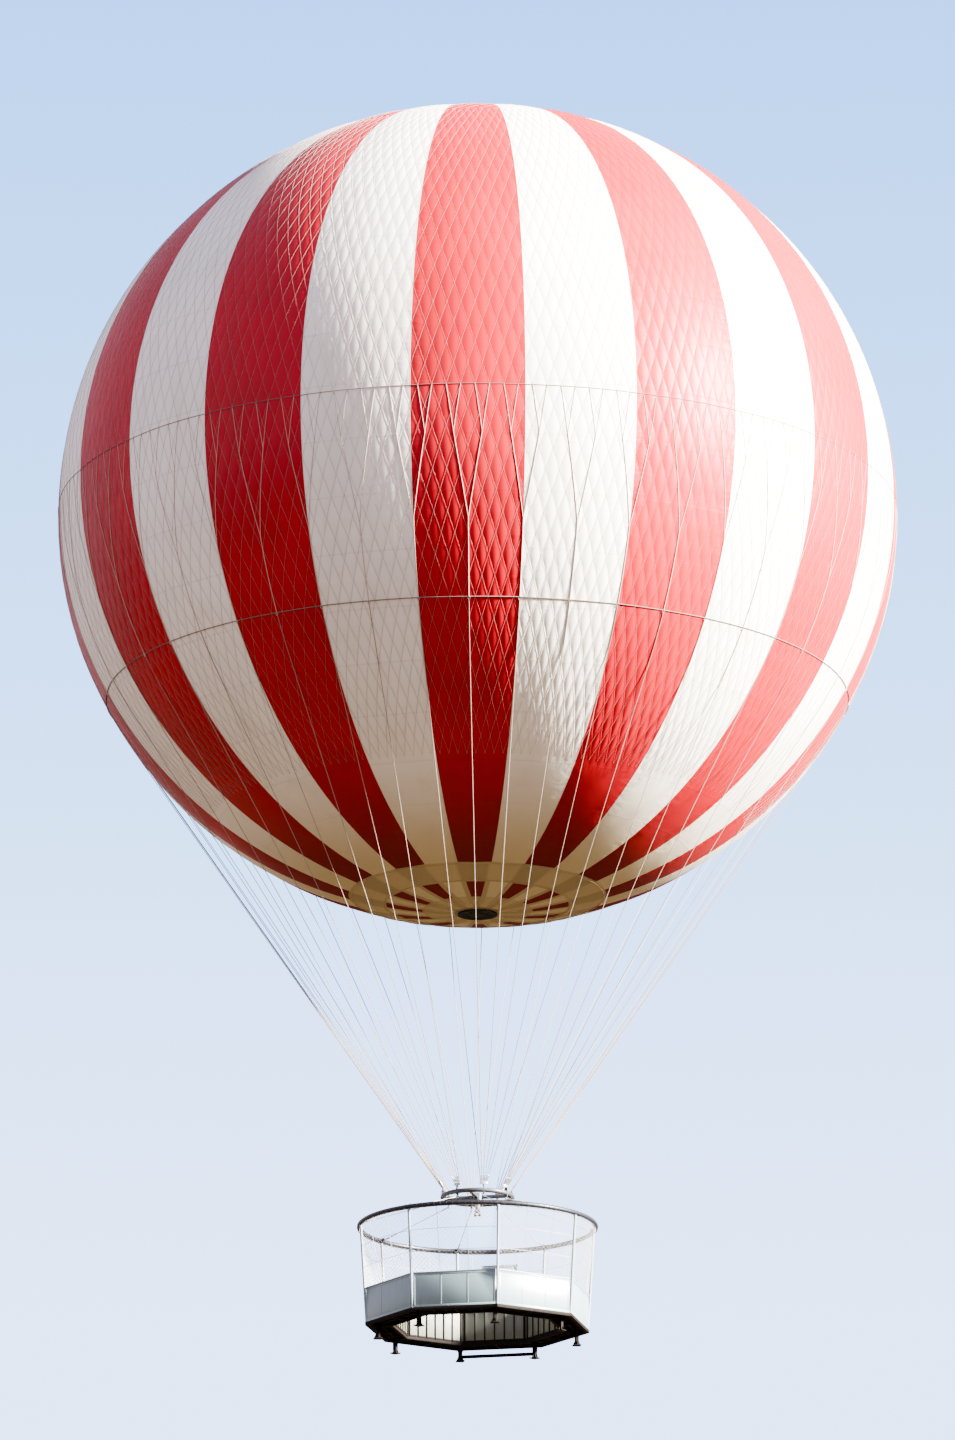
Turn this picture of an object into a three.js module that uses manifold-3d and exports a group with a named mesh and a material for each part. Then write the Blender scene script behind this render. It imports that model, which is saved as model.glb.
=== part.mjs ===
// A tethered passenger gas balloon: a striped round envelope, the lines that leave it in fans,
// a load ring with its tether swivel, and an eight-sided ring gondola with a boarding gate.
// Millimetres, +Z up. The origin is the envelope's centre. An azimuth is in degrees from -Y towards +X.

import * as THREE from 'three';
import { mergeVertices } from 'three/addons/utils/BufferGeometryUtils.js';
import Module from 'manifold-3d';

const wasm = await Module();
wasm.setup();

// Clearance between pieces that touch, and the shortest edge that a join may leave
const GAP = 0.3;
const SHORTEST_EDGE = 0.1;

// Envelope, with polar angles in degrees from the bottom pole
const ENVELOPE_RADIUS = 11050;
const ENVELOPE_HALF_HEIGHT = 10850;
const FABRIC = 10;
const GORES = 24;
const FACETS = 2 * GORES;
const FIRST_SEAM = 3.75;
const LOWER_END = 7.2;
const COLLAR = { from: 12.4, to: 17.7 };
const HEM = 61.6;
const EQUATOR = 90;
const UPPER_END = 172.8;
const PORT_RADIUS = 600;
const CROWN_RADIUS = 620;

// Gas port at the bottom pole, and valve at the top
const POLE_FACETS = 24;
const PORT = { flange: 45, flangeDrop: 25, cap: 520, capDrop: 60 };
const CROWN = { drop: 30, rise: 50, lip: 20, throat: 400, chamber: 500 };
const LID = { radius: 470, thickness: 25, travel: 80, stem: 15, nut: 30, nutHeight: 20 };
const BRIDGE = { arms: 3, reach: 560, width: 40, top: 70, hub: 60, hubTop: 110, bore: 20 };

// Net hem and suspension lines
const HEM_RADIUS = 15;
const LINE_RADIUS = 12;
const LINE_PITCH = 30;
const TANGENT = 56.3;
const LINE_END = 1.3;
const LINE_OFFSETS = [-18.75, -11.25, -3.75, 3.75, 11.25, 18.75];

// Load ring, slings and swivel
const BAYS = 8;
const BAY_ANGLE = 360 / BAYS;
const CORNER = BAY_ANGLE / 2;
const LOAD_RING = { z: -18400, radius: 900, tube: 60, facets: 16, beam: 90, hub: 130, hubHalf: 90 };
const LUG = { width: 24, depth: 90, up: 150, down: 110 };
const FAN_PLATE = { width: 200, depth: 40, height: 70 };
const SLING = { radius: 12, eye: 35, eyeHeight: 70 };
const SWIVEL = { head: 110, headDrop: 60, neck: 70, neckDrop: 280, drop: 420, width: 180, depth: 80 };

// Gondola, with heights above the top face of its floor frame and apothems from the axis
const FLOOR_Z = -21780;
const RING = { radius: 3045, tube: 60, height: 2590, facets: 24 };
const FRAME = { outer: 2700, outerIn: 2590, inner: 2033, innerOut: 2113, depth: 80, radial: 70 };
const FOOT = { radius: 2590, leg: 100, drop: 420, pad: 220, padThickness: 20 };
const LANDING_BAR = { size: 80, drop: 300 };
const DECK = { inner: 2053.3, outer: 2655, thickness: 30, cornerCut: 50 };
const INNER_WALL = { inner: 2033, outer: 2053, height: 880 };
const PANEL = { inner: 2675, outer: 2700, height: 880, half: 1060, postEnd: 1105 };
const RAIL = { inner: 2657, outer: 2718, bottom: 870, top: 910, overhang: 20 };
const POST = { radius: 35, foot: 2880, endGap: 2.6 };
const SCREEN = { line: 2687, bar: 6, rail: 10, end: 21.6, uprights: [-7.5, 7.5], heights: [1 / 3, 2 / 3] };

// Gate, with distances along its side from the middle
const DOOR = { half: 425, jamb: 50, inner: 2662, outer: 2700, header: 2110, headerTop: 2150 };
const GATE = { half: 420, bottom: 40, top: 2105, tube: 40, sheet: 16, bars: [-210, 0, 210] };
const HINGE = { along: -422.5, out: 2712, barrel: 10, height: 60, leaf: 10, reach: 40, levels: [400, 1700] };
const LATCH = { from: 370, to: 410, out: 25, bottom: 1000, top: 1060 };

const FINISHES = {
  red: { color: 0xb3262b, roughness: 0.55, metalness: 0 },
  white: { color: 0xe9e6dd, roughness: 0.55, metalness: 0 },
  beige: { color: 0xcfc2a6, roughness: 0.6, metalness: 0 },
  rope: { color: 0xd9cfb8, roughness: 0.85, metalness: 0 },
  steel: { color: 0x3a3c40, roughness: 0.45, metalness: 0.8 },
  aluminium: { color: 0xb9bdc2, roughness: 0.4, metalness: 0.9 },
  frame: { color: 0x2b2624, roughness: 0.6, metalness: 0.3 },
  panel: { color: 0xe4e7ea, roughness: 0.4, metalness: 0 },
  deck: { color: 0x6d6a64, roughness: 0.8, metalness: 0 },
};

const rad = THREE.MathUtils.degToRad;

// A point from its azimuth, distance from the axis and height
function at(azimuth, radius, z) {
  return new THREE.Vector3(radius * Math.sin(rad(azimuth)), -radius * Math.cos(rad(azimuth)), z);
}

// A point of the envelope's profile at a polar angle, moved outwards along its normal
function skin(polar, outwards = 0) {
  const [s, c] = [Math.sin(rad(polar)), Math.cos(rad(polar))];
  const normal = new THREE.Vector2(s / ENVELOPE_RADIUS, -c / ENVELOPE_HALF_HEIGHT).normalize();
  return new THREE.Vector2(s * ENVELOPE_RADIUS, -c * ENVELOPE_HALF_HEIGHT).addScaledVector(normal, outwards);
}

// The same polar angle, moved along the surface by a distance
function along(polar, distance) {
  return polar + THREE.MathUtils.radToDeg(distance / ENVELOPE_RADIUS);
}

function signedVolume(positions, triangles) {
  const [a, b, c] = [new THREE.Vector3(), new THREE.Vector3(), new THREE.Vector3()];
  let sum = 0;
  for (let i = 0; i < triangles.length; i += 3) {
    a.fromArray(positions, 3 * triangles[i]);
    b.fromArray(positions, 3 * triangles[i + 1]);
    c.fromArray(positions, 3 * triangles[i + 2]);
    sum += a.dot(b.cross(c)) / 6;
  }
  return sum;
}

// A closed three.js geometry as a solid, with its faces turned outwards
function solid(geometry) {
  geometry.deleteAttribute('normal');
  geometry.deleteAttribute('uv');
  const merged = mergeVertices(geometry, 0.01);
  const vertProperties = new Float32Array(merged.attributes.position.array);
  const triangles = [];
  for (let i = 0; i < merged.index.count; i += 3) {
    const [a, b, c] = [0, 1, 2].map((k) => merged.index.getX(i + k));
    if (a !== b && b !== c && c !== a) triangles.push(a, b, c);
  }
  if (signedVolume(vertProperties, triangles) < 0) triangles.reverse();
  const triVerts = new Uint32Array(triangles);
  return new wasm.Manifold(new wasm.Mesh({ numProp: 3, vertProperties, triVerts }));
}

function join(solids) {
  return solids.reduce((whole, piece) => whole.add(piece));
}

// A ring turned about the axis from its closed profile, with its first facet edge at an azimuth
function turned(profile, facets, firstAzimuth = 0) {
  const closed = [...profile, profile[0]];
  return solid(new THREE.LatheGeometry(closed, facets, rad(firstAzimuth)).rotateX(Math.PI / 2));
}

// A disc-like body turned about the axis, with its profile's first and last points on the axis
function spindle(profile, facets, firstAzimuth = 0) {
  const points = profile.map(([radius, z]) => new THREE.Vector2(radius, z));
  return solid(new THREE.LatheGeometry(points, facets, rad(firstAzimuth)).rotateX(Math.PI / 2));
}

// A regular section round a point of a profile, with one flat facing the given angle
function section(centre, radius, sides, flatAngle) {
  return Array.from({ length: sides }, (_, k) => {
    const angle = flatAngle + (Math.PI * (2 * k + 1)) / sides;
    return new THREE.Vector2(centre.x + radius * Math.cos(angle), centre.y + radius * Math.sin(angle));
  });
}

function block([x0, x1], [y0, y1], [z0, z1]) {
  const geometry = new THREE.BoxGeometry(x1 - x0, y1 - y0, z1 - z0);
  return solid(geometry.translate((x0 + x1) / 2, (y0 + y1) / 2, (z0 + z1) / 2));
}

// A block on the side whose middle is at azimuth 0: along the side, outwards, and up
function sideBlock(reach, [inner, outer], heights) {
  return block(reach, [-outer, -inner], heights);
}

function upright(radius, sides, [bottom, top], centre = new THREE.Vector3()) {
  const geometry = new THREE.CylinderGeometry(radius, radius, top - bottom, sides).rotateX(Math.PI / 2);
  return solid(geometry.translate(centre.x, centre.y, (bottom + top) / 2));
}

// A bar of regular section through a few points, with a flat on top
function bar(points, radius, sides) {
  const up = new THREE.Vector3(0, 0, 1);
  const positions = [];
  const triangles = [];
  points.forEach((point, i) => {
    const direction = points[Math.min(i + 1, points.length - 1)].clone();
    direction.sub(points[Math.max(i - 1, 0)]).normalize();
    const across = new THREE.Vector3().crossVectors(up, direction);
    if (across.length() < 1e-6) across.set(1, 0, 0);
    across.normalize();
    const rise = new THREE.Vector3().crossVectors(direction, across);
    for (let k = 0; k < sides; k += 1) {
      const angle = Math.PI / 2 + (Math.PI * (2 * k + 1)) / sides;
      const vertex = point.clone().addScaledVector(across, radius * Math.cos(angle));
      positions.push(...vertex.addScaledVector(rise, radius * Math.sin(angle)));
    }
  });
  for (let i = 0; i < points.length - 1; i += 1) {
    for (let k = 0; k < sides; k += 1) {
      const [a, b] = [i * sides + k, i * sides + ((k + 1) % sides)];
      triangles.push(a, b, b + sides, a, b + sides, a + sides);
    }
  }
  const last = (points.length - 1) * sides;
  for (let k = 1; k < sides - 1; k += 1) {
    triangles.push(0, k + 1, k, last, last + k, last + k + 1);
  }
  const geometry = new THREE.BufferGeometry();
  geometry.setAttribute('position', new THREE.Float32BufferAttribute(positions, 3));
  return solid(geometry.setIndex(triangles));
}

// An upright-walled ring with eight flat sides
function octagonRing(inner, outer, [bottom, top]) {
  const outline = (apothem) => {
    const radius = apothem / Math.cos(rad(CORNER));
    return Array.from({ length: BAYS }, (_, k) => {
      const corner = at(CORNER + k * BAY_ANGLE, radius, 0);
      return new THREE.Vector2(corner.x, corner.y);
    });
  };
  const shape = new THREE.Shape(outline(outer));
  shape.holes.push(new THREE.Path(outline(inner)));
  const geometry = new THREE.ExtrudeGeometry(shape, { depth: top - bottom, bevelEnabled: false });
  return solid(geometry.translate(0, 0, bottom));
}

// Copies of a solid at equal steps round the axis
function around(piece, count, firstAzimuth = 0) {
  return join(Array.from({ length: count }, (_, k) => piece.rotate([0, 0, firstAzimuth + (k * 360) / count])));
}

// A solid's triangles, with each edge that is too short for a real feature closed to a point
function welded({ vertProperties, triVerts }) {
  const point = (v) => new THREE.Vector3().fromArray(vertProperties, 3 * v);
  const standsFor = Array.from({ length: vertProperties.length / 3 }, (_, v) => v);
  const root = (v) => (standsFor[v] === v ? v : root(standsFor[v]));
  for (let i = 0; i < triVerts.length; i += 3) {
    for (const [j, k] of [[0, 1], [1, 2], [2, 0]]) {
      const [a, b] = [root(triVerts[i + j]), root(triVerts[i + k])];
      if (a !== b && point(a).distanceTo(point(b)) < SHORTEST_EDGE) standsFor[b] = a;
    }
  }
  const triangles = [];
  for (let i = 0; i < triVerts.length; i += 3) {
    const [a, b, c] = [0, 1, 2].map((k) => root(triVerts[i + k]));
    if (a !== b && b !== c && c !== a) triangles.push(a, b, c);
  }
  return triangles;
}

function mesh(name, body, finish) {
  const made = body.getMesh();
  const shape = new THREE.BufferGeometry();
  shape.setAttribute('position', new THREE.BufferAttribute(new Float32Array(made.vertProperties), 3));
  shape.setIndex(welded(made));
  const geometry = mergeVertices(shape, 1e-4);
  const piece = new THREE.Mesh(geometry, new THREE.MeshStandardMaterial(FINISHES[finish]));
  piece.name = name;
  return piece;
}

// Polar angles of the gores' rows of facets: each stretch has its end and its number of rows
function goreRows() {
  const stretches = [
    { end: COLLAR.from, rows: 1 },
    { end: COLLAR.to, rows: 1 },
    { end: HEM, rows: 4 },
    { end: EQUATOR, rows: 3 },
    { end: UPPER_END, rows: 8 },
  ];
  const angles = [LOWER_END];
  for (const { end, rows } of stretches) {
    const start = angles[angles.length - 1];
    for (let k = 1; k <= rows; k += 1) angles.push(start + ((end - start) * k) / rows);
  }
  return angles;
}

// One gore from the first seam to the next: two columns of facets, outside and inside
function gore() {
  const rows = goreRows();
  const width = 360 / GORES;
  const positions = [];
  for (const lift of [0, -FABRIC]) {
    for (const polar of rows) {
      const { x: radius, y: z } = skin(polar, lift);
      const inset = THREE.MathUtils.radToDeg(GAP / 2 / radius);
      for (const azimuth of [inset, width / 2, width - inset]) {
        positions.push(...at(FIRST_SEAM + azimuth, radius, z));
      }
    }
  }
  const layer = 3 * rows.length;
  const triangles = [];
  const quad = (a, b, c, d) => triangles.push(a, b, c, a, c, d);
  for (let row = 0; row < rows.length - 1; row += 1) {
    const [low, high] = [3 * row, 3 * row + 3];
    for (const column of [0, 1]) {
      quad(low + column, low + column + 1, high + column + 1, high + column);
      quad(layer + low + column, layer + high + column, layer + high + column + 1, layer + low + column + 1);
    }
    quad(low, high, layer + high, layer + low);
    quad(low + 2, layer + low + 2, layer + high + 2, high + 2);
  }
  const top = layer - 3;
  for (const column of [0, 1]) {
    quad(column, layer + column, layer + column + 1, column + 1);
    quad(top + column, top + column + 1, layer + top + column + 1, layer + top + column);
  }
  const geometry = new THREE.BufferGeometry();
  geometry.setAttribute('position', new THREE.Float32BufferAttribute(positions, 3));
  return solid(geometry.setIndex(triangles));
}

// A ring of fabric between two polar angles, lifted off the gores by some distance
function fabricRing(from, to, lift) {
  const profile = [skin(from, lift), skin(to, lift), skin(to, lift - FABRIC), skin(from, lift - FABRIC)];
  return turned(profile, FACETS, FIRST_SEAM);
}

function polarAt(radius) {
  return THREE.MathUtils.radToDeg(Math.asin(radius / ENVELOPE_RADIUS));
}

// The flanged cap over the gas port, with a flat face below
function gasPort() {
  const edge = PORT_RADIUS - 1;
  const z = skin(polarAt(PORT_RADIUS)).y;
  const profile = [
    [0, z + PORT.flange - PORT.flangeDrop],
    [edge, z + PORT.flange - PORT.flangeDrop],
    [edge, z - PORT.flangeDrop],
    [PORT.cap, z - PORT.flangeDrop],
    [PORT.cap, z - PORT.capDrop],
    [0, z - PORT.capDrop],
  ];
  return spindle(profile, POLE_FACETS, FIRST_SEAM);
}

const CROWN_Z = -skin(polarAt(CROWN_RADIUS)).y;

// The valve's ring, with a lip that the lid closes against and a bridge that guides the stem
function crownRing() {
  const profile = [
    [CROWN_RADIUS - 1, -CROWN.drop],
    [CROWN_RADIUS - 1, CROWN.rise],
    [CROWN.throat, CROWN.rise],
    [CROWN.throat, CROWN.rise - CROWN.lip],
    [CROWN.chamber, CROWN.rise - CROWN.lip],
    [CROWN.chamber, -CROWN.drop],
  ].map(([radius, z]) => new THREE.Vector2(radius, z));
  const ring = turned(profile, POLE_FACETS, FIRST_SEAM);
  const half = BRIDGE.width / 2;
  const arm = block([-half, half], [-BRIDGE.reach, 0], [CROWN.rise - 1, BRIDGE.top]);
  const hub = upright(BRIDGE.hub, 12, [CROWN.rise - 1, BRIDGE.hubTop]);
  const bore = upright(BRIDGE.bore, 12, [0, 2 * BRIDGE.hubTop]);
  return join([ring, around(arm, BRIDGE.arms), hub]).subtract(bore);
}

// The valve's lid and stem, closed, in the ring's own heights
function valveLid() {
  const seat = CROWN.rise - CROWN.lip - GAP;
  const nutBottom = BRIDGE.hubTop + LID.travel + 5;
  const profile = [
    [0, seat - LID.thickness],
    [LID.radius, seat - LID.thickness],
    [LID.radius, seat],
    [LID.stem, seat],
    [LID.stem, nutBottom],
    [LID.nut, nutBottom],
    [LID.nut, nutBottom + LID.nutHeight],
    [0, nutBottom + LID.nutHeight],
  ];
  return spindle(profile, 16);
}

// How far the hem's and the lines' centres stand off the gores
const STAND_OFF = HEM_RADIUS * Math.cos(Math.PI / 6) + GAP;

function netHem() {
  const centre = skin(HEM, STAND_OFF);
  const outwards = centre.clone().sub(skin(HEM)).angle();
  return turned(section(centre, HEM_RADIUS, 6, outwards), FACETS, FIRST_SEAM);
}

// Six lines from one plate: each runs straight to where it meets the envelope, then up it to the hem
function suspensionFan() {
  const bottom = LOAD_RING.z + LUG.up + GAP;
  const { width, depth, height } = FAN_PLATE;
  const inner = LOAD_RING.radius - depth / 2;
  const plate = sideBlock([-width / 2, width / 2], [inner, inner + depth], [bottom, bottom + height]);
  const touch = skin(TANGENT, STAND_OFF);
  const end = skin(along(HEM, -HEM_RADIUS - LINE_END), STAND_OFF);
  const lines = LINE_OFFSETS.map((offset, k) => {
    const sideways = (k - (LINE_OFFSETS.length - 1) / 2) * LINE_PITCH;
    const start = new THREE.Vector3(sideways, -LOAD_RING.radius, bottom + height / 2);
    return bar([start, at(offset, touch.x, touch.y), at(offset, end.x, end.y)], LINE_RADIUS, 5);
  });
  return join([plate, ...lines]);
}

function loadRing() {
  const { z, radius, tube, beam, hub, hubHalf, facets } = LOAD_RING;
  const ring = turned(section(new THREE.Vector2(radius, z), tube, 6, Math.PI / 2), facets);
  const [half, spoke] = [beam / 2, [-radius, radius]];
  const beams = [block(spoke, [-half, half], [z - half, z + half]), block([-half, half], spoke, [z - half, z + half])];
  const lugs = around(
    block(
      [-LUG.width / 2, LUG.width / 2],
      [-radius - LUG.depth / 2, -radius + LUG.depth / 2],
      [z - LUG.down, z + LUG.up],
    ),
    BAYS,
    CORNER,
  );
  return join([ring, ...beams, upright(hub, 12, [z - hubHalf, z + hubHalf]), lugs]);
}

// The swivel hangs under the load ring's hub and turns about the axis
function tetherSwivel() {
  const top = LOAD_RING.z - LOAD_RING.hubHalf - GAP;
  const profile = [
    [0, top],
    [SWIVEL.head, top],
    [SWIVEL.head, top - SWIVEL.headDrop],
    [SWIVEL.neck, top - SWIVEL.headDrop - 20],
    [SWIVEL.neck, top - SWIVEL.neckDrop - 20],
    [0, top - SWIVEL.neckDrop - 20],
  ];
  const [halfWidth, halfDepth] = [SWIVEL.width / 2, SWIVEL.depth / 2];
  const clevis = block([-halfWidth, halfWidth], [-halfDepth, halfDepth], [top - SWIVEL.drop, top - SWIVEL.neckDrop]);
  return join([spindle(profile, 12), clevis]);
}

// The gondola's top ring with its eight slings, in the gondola's heights
function topRing() {
  const tube = section(new THREE.Vector2(RING.radius, RING.height), RING.tube, 6, Math.PI / 2);
  const ring = turned(tube, RING.facets, CORNER);
  const eyeTop = LOAD_RING.z - LUG.down - GAP - FLOOR_Z;
  const hang = at(0, LOAD_RING.radius, 0);
  const eye = upright(SLING.eye, 6, [eyeTop - SLING.eyeHeight, eyeTop], hang);
  const rod = bar([hang.setZ(eyeTop - SLING.eyeHeight / 2), at(0, RING.radius, RING.height)], SLING.radius, 5);
  return join([ring, around(join([eye, rod]), BAYS, CORNER)]);
}

function floorFrame() {
  const heights = [-FRAME.depth, 0];
  const half = FRAME.radial / 2;
  const cornerBeam = block([-half, half], [-(FRAME.outer + 100), -(FRAME.innerOut + 100)], heights);
  const middleBeam = block([-half, half], [-(FRAME.outerIn + 30), -(FRAME.inner + 30)], heights);
  const [leg, pad] = [FOOT.leg / 2, FOOT.pad / 2];
  const { radius, drop, padThickness } = FOOT;
  const foot = join([
    block([-leg, leg], [-radius - leg, -radius + leg], [-drop + padThickness / 2, -FRAME.depth / 2]),
    block([-pad, pad], [-radius - pad, -radius + pad], [-drop, -drop + padThickness]),
  ]);
  const barEnd = at(180 - CORNER, radius, 0);
  const barHalf = LANDING_BAR.size / 2;
  const landingBar = block(
    [-barEnd.x, barEnd.x],
    [barEnd.y - barHalf, barEnd.y + barHalf],
    [-LANDING_BAR.drop - barHalf, -LANDING_BAR.drop + barHalf],
  );
  return join([
    octagonRing(FRAME.outerIn, FRAME.outer, heights),
    octagonRing(FRAME.inner, FRAME.innerOut, heights),
    around(cornerBeam, BAYS, CORNER),
    around(middleBeam, BAYS),
    around(foot, BAYS, CORNER),
    landingBar,
  ]);
}

function deck() {
  const plate = octagonRing(DECK.inner, DECK.outer, [GAP, DECK.thickness]);
  const cut = upright(DECK.cornerCut, 8, [-DECK.thickness, 2 * DECK.thickness], at(0, POST.foot, 0));
  return plate.subtract(around(cut, BAYS, CORNER));
}

function innerWall() {
  const { inner, outer, height } = INNER_WALL;
  const wall = octagonRing(inner, outer, [GAP, height]);
  return join([wall, octagonRing(inner - RAIL.overhang, outer + RAIL.overhang, [RAIL.bottom, RAIL.top])]);
}

const RING_BOTTOM = RING.height - RING.tube * Math.cos(Math.PI / 6);
const SCREEN_TOP = RING_BOTTOM - GAP - SCREEN.rail;

// A point of a side's screen, which rises from the panel's straight rail to the round top ring
function screenPoint(azimuth, share) {
  const low = new THREE.Vector3((SCREEN.line * Math.tan(rad(CORNER)) * azimuth) / CORNER, -SCREEN.line, RAIL.bottom + 20);
  return low.lerp(at(azimuth, RING.radius, SCREEN_TOP), share);
}

function cornerPost() {
  const foot = at(-CORNER, POST.foot, POST.endGap);
  const head = at(-CORNER, RING.radius, RING_BOTTOM - POST.endGap);
  return bar([foot, head], POST.radius, 6);
}

// The rail under the top ring, which bends where the ring's facets do
function screenRail() {
  const bends = [-CORNER, ...SCREEN.uprights, SCREEN.end];
  return bar(bends.map((azimuth) => screenPoint(azimuth, 1)), SCREEN.rail * Math.SQRT2, 4);
}

// Posts, panels and rails of a side between given distances along it
function panel(reach) {
  return join([
    sideBlock(reach, [PANEL.inner, PANEL.outer], [GAP, PANEL.height]),
    sideBlock(reach, [RAIL.inner, RAIL.outer], [RAIL.bottom, RAIL.top]),
  ]);
}

function side() {
  const uprights = SCREEN.uprights.map((azimuth) =>
    bar([screenPoint(azimuth, 0), screenPoint(azimuth, 1)], SCREEN.bar, 4),
  );
  const bends = [-CORNER, ...SCREEN.uprights, SCREEN.end];
  const levels = SCREEN.heights.map((share) =>
    bar(bends.map((azimuth) => screenPoint(azimuth, share)), SCREEN.bar, 4),
  );
  return join([cornerPost(), panel([-PANEL.postEnd, PANEL.half]), screenRail(), ...uprights, ...levels]);
}

// The fixed half of each hinge is on the jamb, below the gate's half
function hingeHalf(level, onGate) {
  const heights = onGate ? [level, level + HINGE.height] : [level - HINGE.height, level - GAP];
  const { along: s, out, barrel, leaf, reach } = HINGE;
  const leafReach = onGate ? [s, s + reach] : [s - reach, s];
  return join([
    upright(barrel, 12, heights, new THREE.Vector3(s, -out, 0)),
    sideBlock(leafReach, [DOOR.outer - 2, DOOR.outer - 2 + leaf], heights),
  ]);
}

// The side that holds the gate: two short panels, the door's frame and the screen round it
function gateSide() {
  const edge = DOOR.half + DOOR.jamb;
  const depth = [DOOR.inner, DOOR.outer];
  const frame = [
    sideBlock([-edge, -DOOR.half], depth, [GAP, DOOR.headerTop]),
    sideBlock([DOOR.half, edge], depth, [GAP, DOOR.headerTop]),
    sideBlock([-edge, edge], depth, [DOOR.header, DOOR.headerTop]),
  ];
  const middle = (DOOR.header + DOOR.headerTop) / 2;
  const braces = SCREEN.uprights.map((azimuth) => {
    const top = screenPoint(azimuth, 1);
    return bar([new THREE.Vector3(top.x, -(DOOR.inner + DOOR.outer) / 2, middle), top], SCREEN.bar, 4);
  });
  const beside = [
    { post: -CORNER, upright: -15, jamb: -1 },
    { post: SCREEN.end, upright: 15, jamb: 1 },
  ].flatMap(({ post, upright: azimuth, jamb }) => [
    bar([screenPoint(azimuth, 0), screenPoint(azimuth, 1)], SCREEN.bar, 4),
    ...SCREEN.heights.map((share) => {
      const level = screenPoint(azimuth, share);
      const end = new THREE.Vector3(jamb * (edge - DOOR.jamb / 2), -(DOOR.inner + DOOR.outer) / 2, level.z);
      return bar([screenPoint(post, share), level, end], SCREEN.bar, 4);
    }),
  ]);
  return join([
    cornerPost(),
    panel([-PANEL.postEnd, -edge + 1]),
    panel([edge - 1, PANEL.half]),
    screenRail(),
    ...frame,
    ...braces,
    ...beside,
    ...HINGE.levels.map((level) => hingeHalf(level, false)),
  ]);
}

function gate() {
  const { half, bottom, top, tube, sheet, bars } = GATE;
  const depth = [DOOR.outer - tube, DOOR.outer];
  const middle = (depth[0] + depth[1]) / 2;
  const sheetDepth = [middle - sheet / 2, middle + sheet / 2];
  const barDepth = [middle - SCREEN.bar, middle + SCREEN.bar];
  const crossbars = SCREEN.heights.map((share) => RAIL.top + (top - RAIL.top) * share);
  return join([
    sideBlock([-half, -half + tube], depth, [bottom, top]),
    sideBlock([half - tube, half], depth, [bottom, top]),
    sideBlock([-half, half], depth, [bottom, bottom + tube]),
    sideBlock([-half, half], depth, [top - tube, top]),
    sideBlock([-half, half], depth, [RAIL.bottom, RAIL.top]),
    sideBlock([-half + 1, half - 1], sheetDepth, [bottom + 1, RAIL.top - 1]),
    ...bars.map((s) => sideBlock([s - SCREEN.bar, s + SCREEN.bar], barDepth, [RAIL.top - 1, top - 1])),
    ...crossbars.map((z) => sideBlock([-half + 1, half - 1], barDepth, [z - SCREEN.bar, z + SCREEN.bar])),
    sideBlock([LATCH.from, LATCH.to], [DOOR.outer - 2, DOOR.outer + LATCH.out], [LATCH.bottom, LATCH.top]),
    ...HINGE.levels.map((level) => hingeHalf(level, true)),
  ]);
}

const number = (k) => String(k + 1).padStart(2, '0');

function envelopeGroup() {
  const group = new THREE.Group();
  const shape = gore();
  for (let k = 0; k < GORES; k += 1) {
    const colour = k % 2 === 0 ? 'red' : 'white';
    const piece = mesh(`gore_${number(k)}_${colour}`, shape, colour);
    piece.rotation.z = rad((k * 360) / GORES);
    group.add(piece);
  }
  const patchEnd = along(LOWER_END, -GAP);
  const crownEnd = along(UPPER_END, GAP);
  group.add(
    mesh('bottom_patch', fabricRing(polarAt(PORT_RADIUS), patchEnd, 0), 'beige'),
    mesh('bottom_collar', fabricRing(COLLAR.from, COLLAR.to, FABRIC + GAP), 'beige'),
    mesh('gas_port', gasPort(), 'frame'),
    mesh('crown_patch', fabricRing(crownEnd, 180 - polarAt(CROWN_RADIUS), 0), 'white'),
    mesh('net_hem_rope', netHem(), 'rope'),
  );
  const valve = new THREE.Group();
  valve.position.z = CROWN_Z;
  valve.add(mesh('valve_ring', crownRing(), 'aluminium'), mesh('valve_lid', valveLid(), 'aluminium'));
  group.add(valve);
  return group;
}

function riggingGroup() {
  const group = new THREE.Group();
  const fan = suspensionFan();
  for (let k = 0; k < BAYS; k += 1) {
    const piece = mesh(`suspension_fan_${k + 1}`, fan, 'rope');
    piece.rotation.z = rad(CORNER + k * BAY_ANGLE);
    group.add(piece);
  }
  group.add(mesh('load_ring', loadRing(), 'steel'), mesh('tether_swivel', tetherSwivel(), 'steel'));
  return group;
}

function gondolaGroup() {
  const group = new THREE.Group();
  group.position.z = FLOOR_Z;
  const [plain, withGate] = [side(), gateSide()];
  for (let k = 0; k < BAYS; k += 1) {
    const holdsGate = k === BAYS / 2;
    const name = holdsGate ? `side_${k + 1}_gate_frame` : `side_${k + 1}`;
    const piece = mesh(name, holdsGate ? withGate : plain, 'panel');
    piece.rotation.z = rad(k * BAY_ANGLE);
    group.add(piece);
  }
  const door = mesh('gate', gate(), 'panel');
  door.rotation.z = Math.PI;
  group.add(
    mesh('top_ring_with_slings', topRing(), 'steel'),
    mesh('floor_frame', floorFrame(), 'frame'),
    mesh('deck', deck(), 'deck'),
    mesh('inner_wall', innerWall(), 'panel'),
    door,
  );
  return group;
}

const balloon = new THREE.Group();
balloon.add(envelopeGroup(), riggingGroup(), gondolaGroup());

export default balloon;
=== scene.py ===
import logging
import math
from dataclasses import dataclass, field
from enum import Enum
from typing import Callable, Iterator, Sequence

import bmesh
import bpy
from mathutils import Matrix, Vector

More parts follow.
